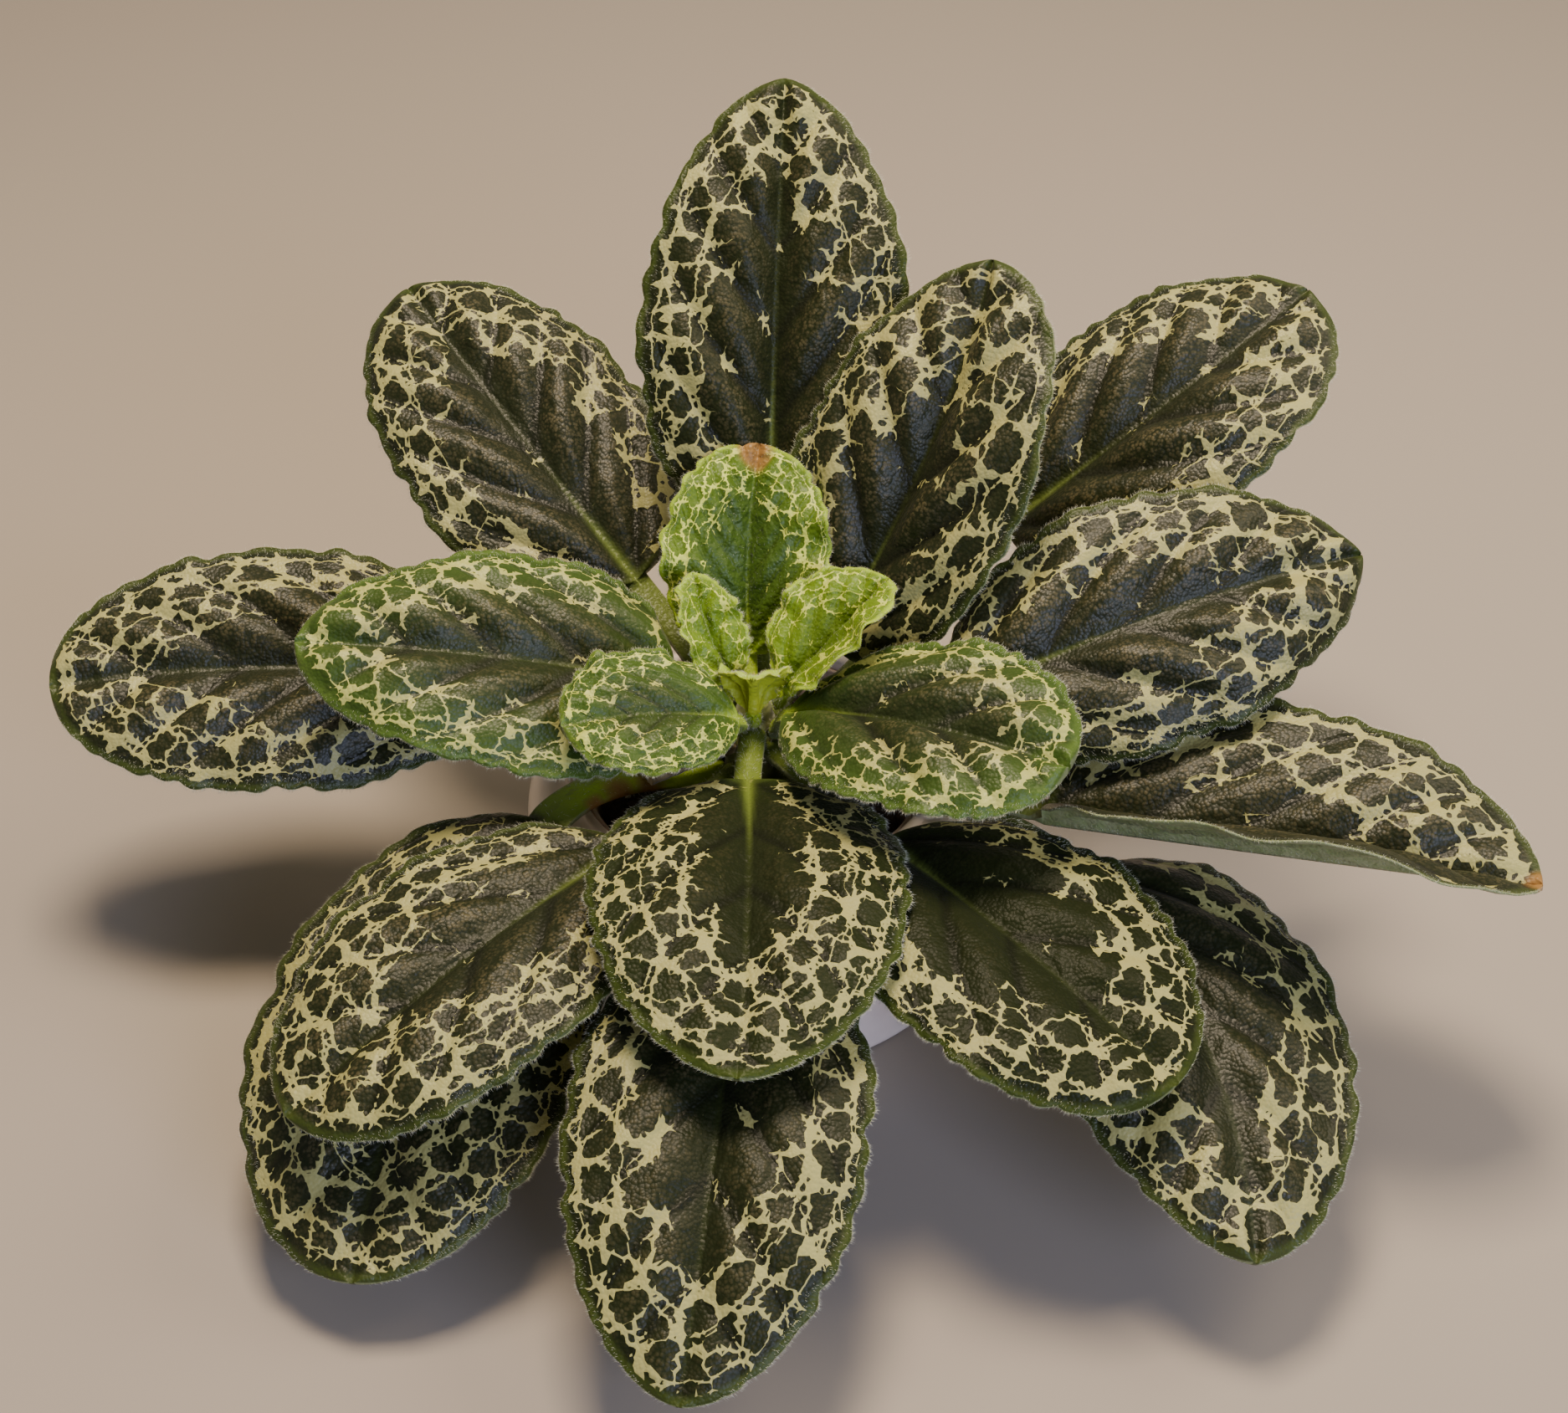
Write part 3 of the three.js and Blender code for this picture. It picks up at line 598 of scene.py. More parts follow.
# How far the side veins waver, as a share of their distance apart, how far each place is moved to the
# middle of its lobe, and how dark the painted shade in a fold gets.
VEIN_WAVER = 0.16
WHOLENESS = 0.5
PAINTED_FOLD_SHADE = 0.6

# What widens the net's lines: how much each cause adds, and the value of it that adds nothing.
LINE_GAINS = {"junction": (0.2, 0.45), "lobe": (-0.26, 0.2), "drift": (0.16, 0.5)}


def leaf_skin(name, cell, grain, line, settings):
    """Living leaf skin: a thin waxy cuticle over cells, so it is softly glossy, with a fine pebble, and
    the down gives it a faint pale sheen. The cream net follows the walls of Voronoi cells of the real
    mesh size, the side veins and arcs along the margin. It widens where walls meet, and finer cells
    of the given grain cut its sides into cusps and lobes. The net fades towards the midrib, where it
    reaches in furthest along the veins, and tapers out before the plain band of the margin."""
    shader = {"Roughness": 0.42, "IOR": 1.43, "Sheen Weight": 0.03, "Sheen Roughness": 0.5}
    shader["Sheen Tint"] = rgba(linear("#d5d3df"))
    material, tree, bsdf = new_material(name, **shader)
    place, zone, edge, tone, dry, gloss = (
        add_node(tree, "ShaderNodeAttribute", attribute_name=key).outputs
        for key in ("net_place", "zone", "edge_distance", "tone", "dry", "gloss")
    )
    place = place["Vector"]
    ink, crest_sheen, rib = add_node(tree, "ShaderNodeSeparateColor", {0: zone["Color"]}).outputs
    under = zone["Alpha"]
    edge, tone, dry = (outputs["Fac"] for outputs in (edge, tone, dry))
    tree.links.new(gloss["Fac"], bsdf.inputs["Specular IOR Level"])

    # Each lobe is drawn as a whole, so a place is moved most of the way to the middle of its lobe.
    lobe_inputs = {"Vector": place, "Scale": 1 / grain}
    lobe = add_node(tree, "ShaderNodeTexVoronoi", lobe_inputs, voronoi_dimensions="2D")
    inward = add_node(
        tree, "ShaderNodeVectorMath", {0: lobe.outputs["Position"], 1: place}, 0,
        operation="SUBTRACT",
    )
    lobed = add_node(
        tree, "ShaderNodeVectorMath", {0: inward, 1: (WHOLENESS, WHOLENESS, 0.0), 2: place}, 0,
        operation="MULTIPLY_ADD",
    )

    # Walls of the net, side veins and the arc along the margin, which waver.
    wide = np.array([WAVER * cell, WAVER * cell, VEIN_WAVER])
    noise = add_node(
        tree, "ShaderNodeTexNoise", {"Vector": lobed, "Scale": 1.3 / cell, "Detail": 1.5}, "Color",
        noise_dimensions="2D",
    )
    shift = add_node(
        tree, "ShaderNodeVectorMath", {0: noise, 1: wide, 2: -wide / 2}, 0, operation="MULTIPLY_ADD"
    )
    warped = add_node(tree, "ShaderNodeVectorMath", {0: lobed, 1: shift}, 0, operation="ADD")
    flat = {"voronoi_dimensions": "2D"}
    walls = {**flat, "feature": "DISTANCE_TO_EDGE"}
    net_inputs = {"Vector": warped, "Scale": 1 / cell, "Randomness": 0.7}
    drift_inputs = {"Vector": place, "Scale": 0.8 / cell, "Detail": 1.5}
    values = {
        "edge": edge,
        "ink": ink,
        "tone": tone,
        "vein": add_node(tree, "ShaderNodeSeparateXYZ", {0: warped}, 2),
        "waver": add_node(tree, "ShaderNodeSeparateXYZ", {0: shift}, 0),
        "wall": add_node(tree, "ShaderNodeTexVoronoi", net_inputs, "Distance", **walls),
        "junction": add_node(tree, "ShaderNodeTexVoronoi", net_inputs, "Distance", **flat),
        "lobe_wall": add_node(tree, "ShaderNodeTexVoronoi", lobe_inputs, "Distance", **walls),
        "drift": add_node(tree, "ShaderNodeTexNoise", drift_inputs, "Fac", noise_dimensions="2D"),
        "width": line - sum(gain * mean for gain, mean in LINE_GAINS.values()),
    }

    # Sums of these: the distance from the nearest line, in cells, how far the net reaches in, and half
    # the width of the lines, which are thinner on a young skin. A text names an earlier value.
    sums = [
        ("away", "ADD", "edge", "waver"),
        ("crease", "PINGPONG", "vein", 0.5),
        ("vein_wall", "MULTIPLY_ADD", "crease", VEINS_APART, 0.03),
        ("arc_place", "MULTIPLY_ADD", "away", 1 / cell, -ARC_PLACE),
        ("arc_wall", "PINGPONG", "arc_place", ARCS_APART / 2),
        ("wall", "SMOOTH_MIN", "wall", "vein_wall", BLEND),
        ("wall", "SMOOTH_MIN", "wall", "arc_wall", BLEND),
        ("reach", "MULTIPLY_ADD", "drift", 1.2, "ink"),
        ("reach", "MULTIPLY_ADD", "crease", -0.7, "reach"),
        ("lobe", "MINIMUM", "lobe_wall", WIDEST_LOBE),
    ]
    sums += [("width", "MULTIPLY_ADD", key, gain, "width") for key, (gain, _) in LINE_GAINS.items()]
    sums += [
        ("width", "MAXIMUM", "width", THINNEST_LINE),
        ("slim", "MULTIPLY_ADD", "tone", -0.4, 1.0),
    ]
    for key, operation, *inputs in sums:
        wired = {slot: values.get(item, item) for slot, item in enumerate(inputs)}
        values[key] = add_node(tree, "ShaderNodeMath", wired, 0, operation=operation)

    solid = add_node(tree, "ShaderNodeTexCoord", None, "Object")
    mottle = add_node(
        tree, "ShaderNodeTexNoise", {"Vector": solid, "Scale": 0.5 / MM, "Detail": 4.0}, "Fac"
    )
    pebble = add_node(
        tree, "ShaderNodeTexVoronoi", {"Vector": solid, "Scale": 1 / (PEBBLE * MM)}, "Distance"
    )

    # Shares from 0 to 1 between two values of a socket.
    shares = {}
    for key, (value, low, high) in {
        "shown": (values["reach"], 0.62, 1.05),
        "inside": (edge, 0.15 * cell, 0.42 * cell),
        "band": (edge, 0.36 * cell, 0.1 * cell),
        "rim": (edge, 0.26, 0.03),
        "patch": (values["wall"], 0.0, 0.3),
        # Where painted shade falls: beside the creases of the side veins.
        "fold": (values["crease"], 0.17, 0.0),
        "old": (tone, 0.7, 0.1),
        "mottled": (mottle, 0.3, 0.65),
        # Painted glints: the tops of the pebbles get the painted sheen.
        "pebble_glint": (pebble, 0.7, 0.3),
        "greenish": (tone, 0.02, 0.5),
        "limeish": (tone, 0.55, 1.0),
        "young_band": (tone, 0.45, 0.9),
        "young_net": (tone, 0.1, 0.75),
    }.items():
        shares[key] = add_node(
            tree, "ShaderNodeMapRange", {"Value": value, "From Min": low, "From Max": high}, 0,
            interpolation_type="SMOOTHSTEP",
        )

    products = {
        "width": (values["width"], shares["shown"], shares["inside"], values["slim"]),
        # Painted sheen, patchy: crests of the puffs and tops of the pebbles are painted paler, as if
        # lit.
        "painted_sheen": (crest_sheen, shares["mottled"], shares["pebble_glint"]),
        # Painted shade in the folds of old skin.
        "fold": (shares["fold"], shares["old"], PAINTED_FOLD_SHADE),
    }
    for key, (product, *factors) in products.items():
        for factor in factors:
            product = add_node(
                tree, "ShaderNodeMath", {0: product, 1: factor}, 0, operation="MULTIPLY"
            )
        products[key] = product
    excess = add_node(
        tree, "ShaderNodeMath", {0: products["width"], 1: values["wall"]}, 0, operation="SUBTRACT"
    )
    net = add_node(
        tree, "ShaderNodeMapRange", {"Value": excess, "From Min": 0.002, "From Max": 0.018}, 0,
        interpolation_type="SMOOTHSTEP",
    )

    # Colours that depend on the tone, then the skin's layers, each laid over the ones before.
    paints = {key: rgba(linear(code)) for key, code in LEAF_COLOURS.items()}
    paints["margin"] = rgba(settings.margin_colour)
    paints["net"] = rgba(settings.net_colour)
    paints["under"] = rgba(settings.under_colour)
    for key, amount, other in (
        ("margin", shares["greenish"], "green_margin"),
        ("margin", shares["young_band"], "lime_margin"),
        ("net", shares["young_net"], "lime_net"),
        ("rib", tone, "lime_margin"),
        ("under", shares["mottled"], "under_shade"),
        ("under", shares["young_band"], "lime_back"),
        ("downy_edge", shares["young_band"], "lime_margin"),
    ):
        paints[key] = add_node(
            tree, "ShaderNodeMix", {0: amount, 6: paints[key], 7: paints[other]}, 2,
            data_type="RGBA",
        )
    colour = rgba(settings.ground_colour)
    for amount, key in (
        # A painted sheen on the crests of the puffs, as if they caught the light.
        (products["painted_sheen"], "painted_sheen"),
        (shares["greenish"], "green"),
        (shares["limeish"], "lime"),
        # Painted shade in the folds along the side veins.
        (products["fold"], "shade"),
        (shares["band"], "margin"),
        (net, "net"),
        (rib, "rib"),
        (shares["rim"], "downy_edge"),
        (under, "under"),
        (dry, "dry"),
    ):
        colour = add_node(
            tree, "ShaderNodeMix", {0: amount, 6: colour, 7: paints[key]}, 2, data_type="RGBA"
        )
    tree.links.new(colour, bsdf.inputs["Base Color"])

    # Each patch between the lines swells a little, and the whole skin is pebbled.
    strength, depth = PATCH_RELIEF
    swell = add_node(
        tree, "ShaderNodeBump", {"Height": shares["patch"], "Strength": strength, "Distance": depth}, 0
    )
    strength, depth = PEBBLE_RELIEF
    bump = add_node(
        tree, "ShaderNodeBump",
        {"Height": pebble, "Strength": strength, "Distance": depth, "Normal": swell}, 0, invert=True,
    )
    tree.links.new(bump, bsdf.inputs["Normal"])
    return material


def down_material(name, colour):
    """Plant hair: a thin clear-walled cell, pale because it scatters light, so it is matte white."""
    material, _, _ = new_material(
        name, **{"Base Color": rgba(colour), "Roughness": 0.6, "Sheen Weight": 0.2}
    )
    return material


def speckled_material(name, colour, other, noise, bump, shader):
    """A material whose two colours mix by one noise in object space, given as its scale per metre and
    its detail. bump is the strength and the depth in metres of the same noise in the surface."""
    material, tree, bsdf = new_material(name, **shader)
    place = add_node(tree, "ShaderNodeTexCoord", None, "Object")
    field = add_node(
        tree, "ShaderNodeTexNoise", {"Vector": place, "Scale": noise[0], "Detail": noise[1]}, "Fac"
    )
    share = add_node(
        tree, "ShaderNodeMapRange", {"Value": field, "From Min": 0.35, "From Max": 0.7}, 0,
        interpolation_type="SMOOTHSTEP",
    )
    shade = add_node(
        tree, "ShaderNodeMix", {0: share, 6: rgba(colour), 7: rgba(other)}, 2, data_type="RGBA"
    )
    tree.links.new(shade, bsdf.inputs["Base Color"])
    relief = add_node(
        tree, "ShaderNodeBump", {"Height": field, "Strength": bump[0], "Distance": bump[1]}, 0
    )
    tree.links.new(relief, bsdf.inputs["Normal"])
    return material


def glaze_material(colour):
    """Satin glazed stoneware: a thin glassy coat over a pale body, with faint drifts of pink where the
    glaze is thinner and a slight orange-peel in the gloss."""
    return speckled_material(
        "satin glazed stoneware", colour, linear("#e4d3c8"), (60.0, 4.0), (0.15, 0.0003),
        {"Roughness": 0.38, "Coat Weight": 0.35, "Coat Roughness": 0.22},
    )


def plastic_material(colour):
    """Thin polypropylene, thermoformed: matte, slightly see-through at the rim, faintly streaked."""
    return speckled_material(
        "thermoformed polypropylene", colour, linear("#a98d7c"), (120.0, 4.0), (0.1, 0.0001),
        {"Roughness": 0.5, "Subsurface Weight": 0.1},
    )


def mix_material(name, colour, other, roughness):
    """Damp peat or perlite crumbs: rough and matte, mottled at the size of their fibres and pores."""
    return speckled_material(
        name, colour, other, (900.0, 5.0), (0.8, 0.0004), {"Roughness": roughness}
    )


def stem_material(name, light, dark, scale):
    """Green or dried stem skin: matte and downy, mottled along its length."""
    return speckled_material(
        name, light, dark, (scale, 4.0), (0.6, 0.0004),
        {"Roughness": 0.65, "Sheen Weight": 0.3, "Sheen Roughness": 0.4},
    )


# Turned pieces


def ring_faces(rows, after, sides):
    """Quads between each numbered ring of points and the ring after it, all with the same sides."""
    here = np.arange(sides)[None, :]
    beside = (here + 1) % sides
    low = rows * sides
    high = after * sides
    return np.stack([low + here, low + beside, high + beside, high + here], axis=-1).reshape(-1, 4)


def end_faces(rings, sides):
    """Triangles that close both ends of a stack of rings, at the two points that follow the rings."""
    here = np.arange(sides)
    beside = (here + 1) % sides
    last = (rings - 1) * sides
    middle = np.full(sides, rings * sides)
    first_end = np.stack([beside, here, middle], axis=1)
    last_end = np.stack([last + here, last + beside, middle + 1], axis=1)
    return np.concatenate([first_end, last_end])


def turned(name, profile, sides, lumps=None):
    """Surface of a closed profile of (radius, height) in millimetres carried round the Z axis. A
    profile that starts and ends on the axis is closed there by fans of triangles. lumps, where it is
    given, moves each point up by a height that depends on x and y."""
    profile = np.asarray(profile, float)
    on_axis = profile[0, 0] < 1e-6 and profile[-1, 0] < 1e-6
    ring = profile[1:-1] if on_axis else profile
    turn = np.arange(sides) * 2 * math.pi / sides
    x = ring[:, :1] * np.cos(turn)
    y = ring[:, :1] * np.sin(turn)
    z = np.broadcast_to(ring[:, 1:], x.shape)
    points = np.stack([x, y, z], axis=-1).reshape(-1, 3)
    if lumps is not None:
        points[:, 2] += lumps(points[:, 0], points[:, 1], points[:, 2])
    count = len(ring)
    rows = np.arange(count - 1 if on_axis else count)[:, None]
    quads = ring_faces(rows, (rows + 1) % count, sides)
    triangles = ()
    if on_axis:
        ends = np.array([[0, 0, profile[0, 1]], [0, 0, profile[-1, 1]]])
        points = np.concatenate([points, ends])
        triangles = end_faces(count, sides)
    return make_mesh(name, points * MM, quads, triangles)


def arc(centre, across, high, start, end, steps):
    """Points on an ellipse round a centre, from one angle in degrees to another, ends included."""
    angle = np.linspace(start, end, steps) * DEGREE
    return np.stack([centre[0] + across * np.cos(angle), centre[1] + high * np.sin(angle)], axis=1)


# Settings


def length_setting(name, description, size):
    """A length among the settings, whose first value is given in millimetres."""
    return FloatProperty(name=name, description=description, default=size * MM, unit="LENGTH")


def colour_setting(name, description, code):
    """A colour among the settings, whose first value is given as an sRGB hex code."""
    return FloatVectorProperty(
        name=name, description=description, default=linear(code), subtype="COLOR"
    )


class PotSettings(bpy.types.PropertyGroup):
    """Sizes and colours of the two pots."""

    wall: length_setting("Wall", "Thickness of the ceramic wall", 4)
    shoulder: length_setting("Shoulder", "Height where the wall starts to draw in", 31)
    glaze_colour: colour_setting("Glaze", "Colour of the glaze", "#f1e5da")
    liner_colour: colour_setting("Liner", "Colour of the grow pot", "#d3b5a2")


class LeafSettings(bpy.types.PropertyGroup):
    """Sizes and colours of the leaf skin."""

    net_cell: length_setting("Net cell", "Mean size of a patch between the net's lines", 6.6)
    young_net_cell: length_setting("Young net cell", "The same on a young leaf", 3.6)
    ground_colour: colour_setting("Ground", "Colour of an old blade between the lines", "#1a200b")
    net_colour: colour_setting("Net", "Colour of the net", "#98965f")
    margin_colour: colour_setting("Margin", "Colour of the plain band along the edge", "#343f16")
    under_colour: colour_setting("Underside", "Colour of the lower face", "#8d936a")


class DownSettings(bpy.types.PropertyGroup):
    """Length, spread and colour of the hairs."""

    length: length_setting("Length", "Longest hair on a margin", 1.1)
    thickness: length_setting("Thickness", "Thickness at the root, drawn wider than life to show", 0.06)
    per_mm: FloatProperty(
        name="Hairs per mm", description="Hairs on each millimetre of margin", default=13.0)
    colour: colour_setting("Colour", "Colour of the hairs", "#c9cbb4")


class MixSettings(bpy.types.PropertyGroup):
    """Crumbs of the potting mix."""

    crumbs: IntProperty(name="Crumbs", description="Dark crumbs on the surface", default=700)
    perlite: IntProperty(name="Perlite", description="White grains on the surface", default=36)
    crumb_size: length_setting("Crumb size", "Largest crumb", 1.9)
    colour: colour_setting("Colour", "Colour of damp mix", "#1d1713")


class StageSettings(bpy.types.PropertyGroup):
    """Floor and lights."""

    floor_colour: colour_setting("Floor", "Colour of the floor", "#978e82")
    key_power: FloatProperty(
        name="Key light", description="Power of the main soft light in watts", default=12.0)
    room_light: FloatProperty(
        name="Room light", description="Strength of the even light from all round", default=0.25)


# Pieces


def pot_profile(settings):
    """Side of the ceramic pot, from the middle of its base, up outside and down inside."""
    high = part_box("pot")[1]
    radius = high.x / MM
    height = high.z / MM
    wall = settings.wall / MM
    shoulder = settings.shoulder / MM
    lip = 37.4
    lip_wall = 2.6
    recess = 0.6
    roll = lip_wall / 2
    inside = radius - wall
    return np.concatenate([
        [[0, recess], [radius - 8, recess], [radius - 6, 0]],
        arc((radius - 2, 2), 2, 2, -90, 0, 7),
        np.stack([np.full(6, radius), np.linspace(6, shoulder - 3, 6)], axis=1),
        arc((lip, shoulder), radius - lip, height - roll - shoulder, 0, 80, 22),
        arc((lip - roll, height - roll), roll, roll, 20, 180, 12),
        [[lip - lip_wall, height - 5]],
        arc((inside - 6, shoulder - 6), 6, 6, 40, 0, 6),
        [[inside, 12]],
        arc((inside - 3, 7), 3, 3, 0, -90, 6),
        [[0, 4]],
    ])


class PLANT_OT_pot(bpy.types.Operator):
    """Makes the glazed ceramic pot"""

    bl_idname = "plant.pot"
    bl_label = "Ceramic pot"

    def execute(self, context):
        settings = context.scene.plant_pot
        obj = turned("pot_glazed", pot_profile(settings), 160)
        place_piece(obj, ["pot"], glaze_material(settings.glaze_colour))
        return {"FINISHED"}


class PLANT_OT_grow_pot(bpy.types.Operator):
    """Makes the thin plastic liner"""

    bl_idname = "plant.grow_pot"
    bl_label = "Grow pot"

    def execute(self, context):
        low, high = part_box("grow_pot")
        base = low.z / MM
        top = high.z / MM
        rim = high.x / MM
        wall = 1.1
        bead = 0.55
        profile = np.concatenate([
            [[5, base], [26, base]],
            arc((26, base + 1), 1, 1, -90, 0, 4),
            [[rim - 0.9, top - 2.6], [rim - 0.5, top - 2.5]],
            arc((rim - bead, top - bead), bead, bead, 0, 180, 9),
            [[rim - wall, top - 2.4], [rim - 0.9 - wall, top - 2.7]],
            [[27 - wall, base + wall], [5, base + wall]],
        ])
        obj = turned("grow_pot_liner", profile, 128)
        material = plastic_material(context.scene.plant_pot.liner_colour)
        place_piece(obj, ["grow_pot"], material)
        return {"FINISHED"}


# Seed of the crumbs' draws. In millimetres, the largest perlite grain, how far crumbs keep from the
# stem and the edge, how much the mix is heaped in the middle, and its fall at the edge.
MIX_SEED = 7
PERLITE_SIZE = 2.2
CRUMB_MARGIN = 1.5
MIX_HEAP = 1.5
MIX_EDGE_FALL = 1.2


def crumb_shape():
    """Points and triangles of an icosahedron, the start of each crumb."""
    golden = (1 + math.sqrt(5)) / 2
    points = []
    for a in (-1, 1):
        for b in (-golden, golden):
            points += [(0, a, b), (a, b, 0), (b, 0, a)]
    points = unit(np.array(points, float))
    gaps = np.linalg.norm(points[:, None] - points[None], axis=2)
    near = (gaps > 0.1) & (gaps < 1.2)
    triangles = [
        (i, j, k)
        for i in range(12) for j in range(i + 1, 12) for k in range(j + 1, 12)
        if near[i, j] and near[j, k] and near[i, k]
    ]
    turned_out = []
    for i, j, k in triangles:
        outward = np.dot(np.cross(points[j] - points[i], points[k] - points[i]), points[i])
        turned_out.append((i, j, k) if outward > 0 else (i, k, j))
    return points, np.array(turned_out)


def scatter_crumbs(name, count, size, flat, rng):
    """Crumbs on the mix: copies of one shape, each stretched, turned and lumped by seeded draws."""
    shape, triangles = crumb_shape()
    inner = STEM_RADIUS + CRUMB_MARGIN
    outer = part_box("potting_mix")[1].x / MM - CRUMB_MARGIN
    radius = np.sqrt(rng.uniform(inner ** 2, outer ** 2, count))
    turn = rng.uniform(0, 2 * math.pi, count)
    x, y = radius * np.cos(turn), radius * np.sin(turn)
    z = mix_height(radius) + mix_lumps(x, y, 0)
    lumps = rng.uniform(0.75, 1.25, (count, 12, 1))
    stretch = rng.uniform(0.35, 1.0, (count, 1, 3)) * size / 2
    stretch[..., 2] *= flat
    spin = rng.uniform(0, 2 * math.pi, count)
    cos, sin = np.cos(spin)[:, None], np.sin(spin)[:, None]
    local = shape[None] * lumps * stretch
    tipped = local[..., 2] + local[..., 0] * rng.uniform(-0.5, 0.5, (count, 1))
    points = np.stack(
        [
            local[..., 0] * cos - local[..., 1] * sin + x[:, None],
            local[..., 0] * sin + local[..., 1] * cos + y[:, None],
            tipped + z[:, None],
        ],
        axis=-1,
    ).reshape(-1, 3)
    faces = (triangles[None] + np.arange(count)[:, None, None] * 12).reshape(-1, 3)
    obj = make_mesh(name, points * MM, [], faces)
    obj.data.polygons.foreach_set("use_smooth", np.zeros(len(faces), bool))
    return obj


def mix_height(radius):
    """Height of the mix in millimetres at a radius: a low heap that falls away to the edge."""
    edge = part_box("potting_mix")[1].x / MM
    fall = np.clip(radius / edge, 0, 1)
    heap = MIX_HEAP * (1 - fall ** 1.5)
    return MIX_TOP - MIX_HEAP + heap - MIX_EDGE_FALL * smooth(0.95, 1.0, fall)


def mix_lumps(x, y, z):
    """Small lumps of the mix's surface: three crossed waves, none below the top."""
    waves = np.sin(x * 1.7 + 0.6 * y) * np.cos(y * 1.9 - 0.4 * x)
    fine = np.sin(x * 4.1 + 1.3) * np.cos(y * 3.7)
    return (0.28 * waves + 0.16 * fine) * (z > 34 if np.ndim(z) else 1)


class PLANT_OT_mix(bpy.types.Operator):
    """Makes the potting mix with its crumbs and perlite"""

    bl_idname = "plant.mix"
    bl_label = "Potting mix"

    def execute(self, context):
        settings = context.scene.plant_mix
        low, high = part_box("potting_mix")
        edge = high.x / MM
        base = low.z / MM
        hole = STEM_RADIUS + STALK_GAP
        hole_foot = 23.2
        base_radius = 25.2
        side_top = 33.0
        radius = np.linspace(edge - 0.05, hole, 26)
        top = np.stack([radius, mix_height(radius)], axis=1)
        profile = np.concatenate([
            [[0, base], [base_radius, base], [edge, side_top]],
            top,
            [[hole, hole_foot], [0, hole_foot]],
        ])
        obj = turned("potting_mix_bed", profile, 120, mix_lumps)
        dark = mix_material("damp peat mix", settings.colour, linear("#3a2c22"), 0.95)
        place_piece(obj, ["potting_mix"], dark)
        rng = np.random.default_rng(MIX_SEED)
        crumbs = scatter_crumbs("peat_crumbs", settings.crumbs, settings.crumb_size / MM, 0.8, rng)
        place_piece(crumbs, [], dark)
        white = mix_material("expanded perlite", linear("#d8d2c4"), linear("#a79f8e"), 0.9)
        grains = scatter_crumbs("perlite_grains", settings.perlite, PERLITE_SIZE, 0.9, rng)
        place_piece(grains, [], white)
        return {"FINISHED"}


class PLANT_OT_stem(bpy.types.Operator):
    """Makes the stem and the bud at its tip"""

    bl_idname = "plant.stem"
    bl_label = "Stem and bud"

    def execute(self, context):
        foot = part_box("stem")[0].z / MM
        tip_height = 1.2
        scar_width = 1.1
        scar_relief = 0.22
        inset = 0.12
        height = np.linspace(MIX_TOP - 3, STEM_TOP - tip_height, 46)
        scars = sum(np.exp(-(((height - level) / scar_width) ** 2)) for level in LEVELS)
        radius = stem_radius(height) - inset + scar_relief * scars * (height > 39)
        side = np.stack([radius, height], axis=1)
        tip = arc((0, STEM_TOP - tip_height), radius[-1], tip_height, 5, 86, 6)
        profile = np.concatenate([
            [[0, foot], [STEM_RADIUS - 1, foot], [STEM_RADIUS - 0.1, foot + 1]], side, tip,
            [[0, STEM_TOP]],
        ])
        obj = turned("stem_skin", profile, 48)
        green = stem_material("downy green stem", linear("#7c8540"), linear("#4f5230"), 260.0)
        place_piece(obj, ["stem"], green)

        low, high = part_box("bud")
        length = (high.z - low.z) / MM
        bud_radius = high.x / MM
        rise = np.linspace(0.02, 0.99, 22)
        swell = np.sin(math.pi * rise ** 0.55) ** 0.8 * (1 - 0.25 * rise)
        shape = np.stack([bud_radius * swell, low.z / MM + length * rise], axis=1)
        profile = np.concatenate([[[0, low.z / MM]], shape, [[0, high.z / MM]]])
        obj = turned("bud_scales", profile, 24)
        yellow = stem_material("downy yellow-green bud", linear("#c3bf3f"), linear("#9aa63a"), 700.0)
        place_piece(obj, ["bud"], yellow)
        return {"FINISHED"}


class PLANT_OT_cut_stalk(bpy.types.Operator):
    """Makes the dried stub of a cut stalk"""

    bl_idname = "plant.cut_stalk"
    bl_label = "Cut stalk"

    def execute(self, context):
        heading = 216 * DEGREE
        slope = 3 * DEGREE
        length = 19.0
        root_radius = 2.0
        taper = 0.35
        level = LEVELS[2]
        start = np.array([math.cos(heading), math.sin(heading), 0])
        root = start * (stem_radius(level - 2) + STALK_GAP) + level * UP
        course = start * math.cos(slope) + UP * math.sin(slope)
        side = unit(np.cross(course, UP))
        over = np.cross(side, course)
        share = np.linspace(0, 1, 40)[:, None]
        turn = np.linspace(0, 2 * math.pi, 33)[None, :-1]
        wrinkle = 0.9 + 0.07 * np.sin(7 * turn + 4 * share) + 0.03 * np.sin(40 * share + 3 * turn)
        radius = (root_radius - taper * share) * wrinkle
        points = (
            root + course * (share * length)[..., None]
            + side * (radius * np.cos(turn))[..., None]
            + over * (radius * np.sin(turn))[..., None]
        )
        rings, sides = radius.shape
        rows = np.arange(rings - 1)[:, None]
        quads = ring_faces(rows, rows + 1, sides)
        ends = np.array([root, root + course * (length - 0.5)])
        points = np.concatenate([points.reshape(-1, 3), ends])
        triangles = end_faces(rings, sides)
        obj = make_mesh("cut_stalk_skin", points * MM, quads[:, ::-1], triangles[:, ::-1])
        dry = stem_material("dried stalk skin", linear("#a3946a"), linear("#6b5a3a"), 400.0)
        place_piece(obj, ["cut_stalk"], dry)
        return {"FINISHED"}


# The nets of grown and young leaves: the size of the finer cells in millimetres, and half the width
# of the lines in cells.
GROWN_NET = (1.65, 0.064)
YOUNG_NET = (1.0, 0.055)


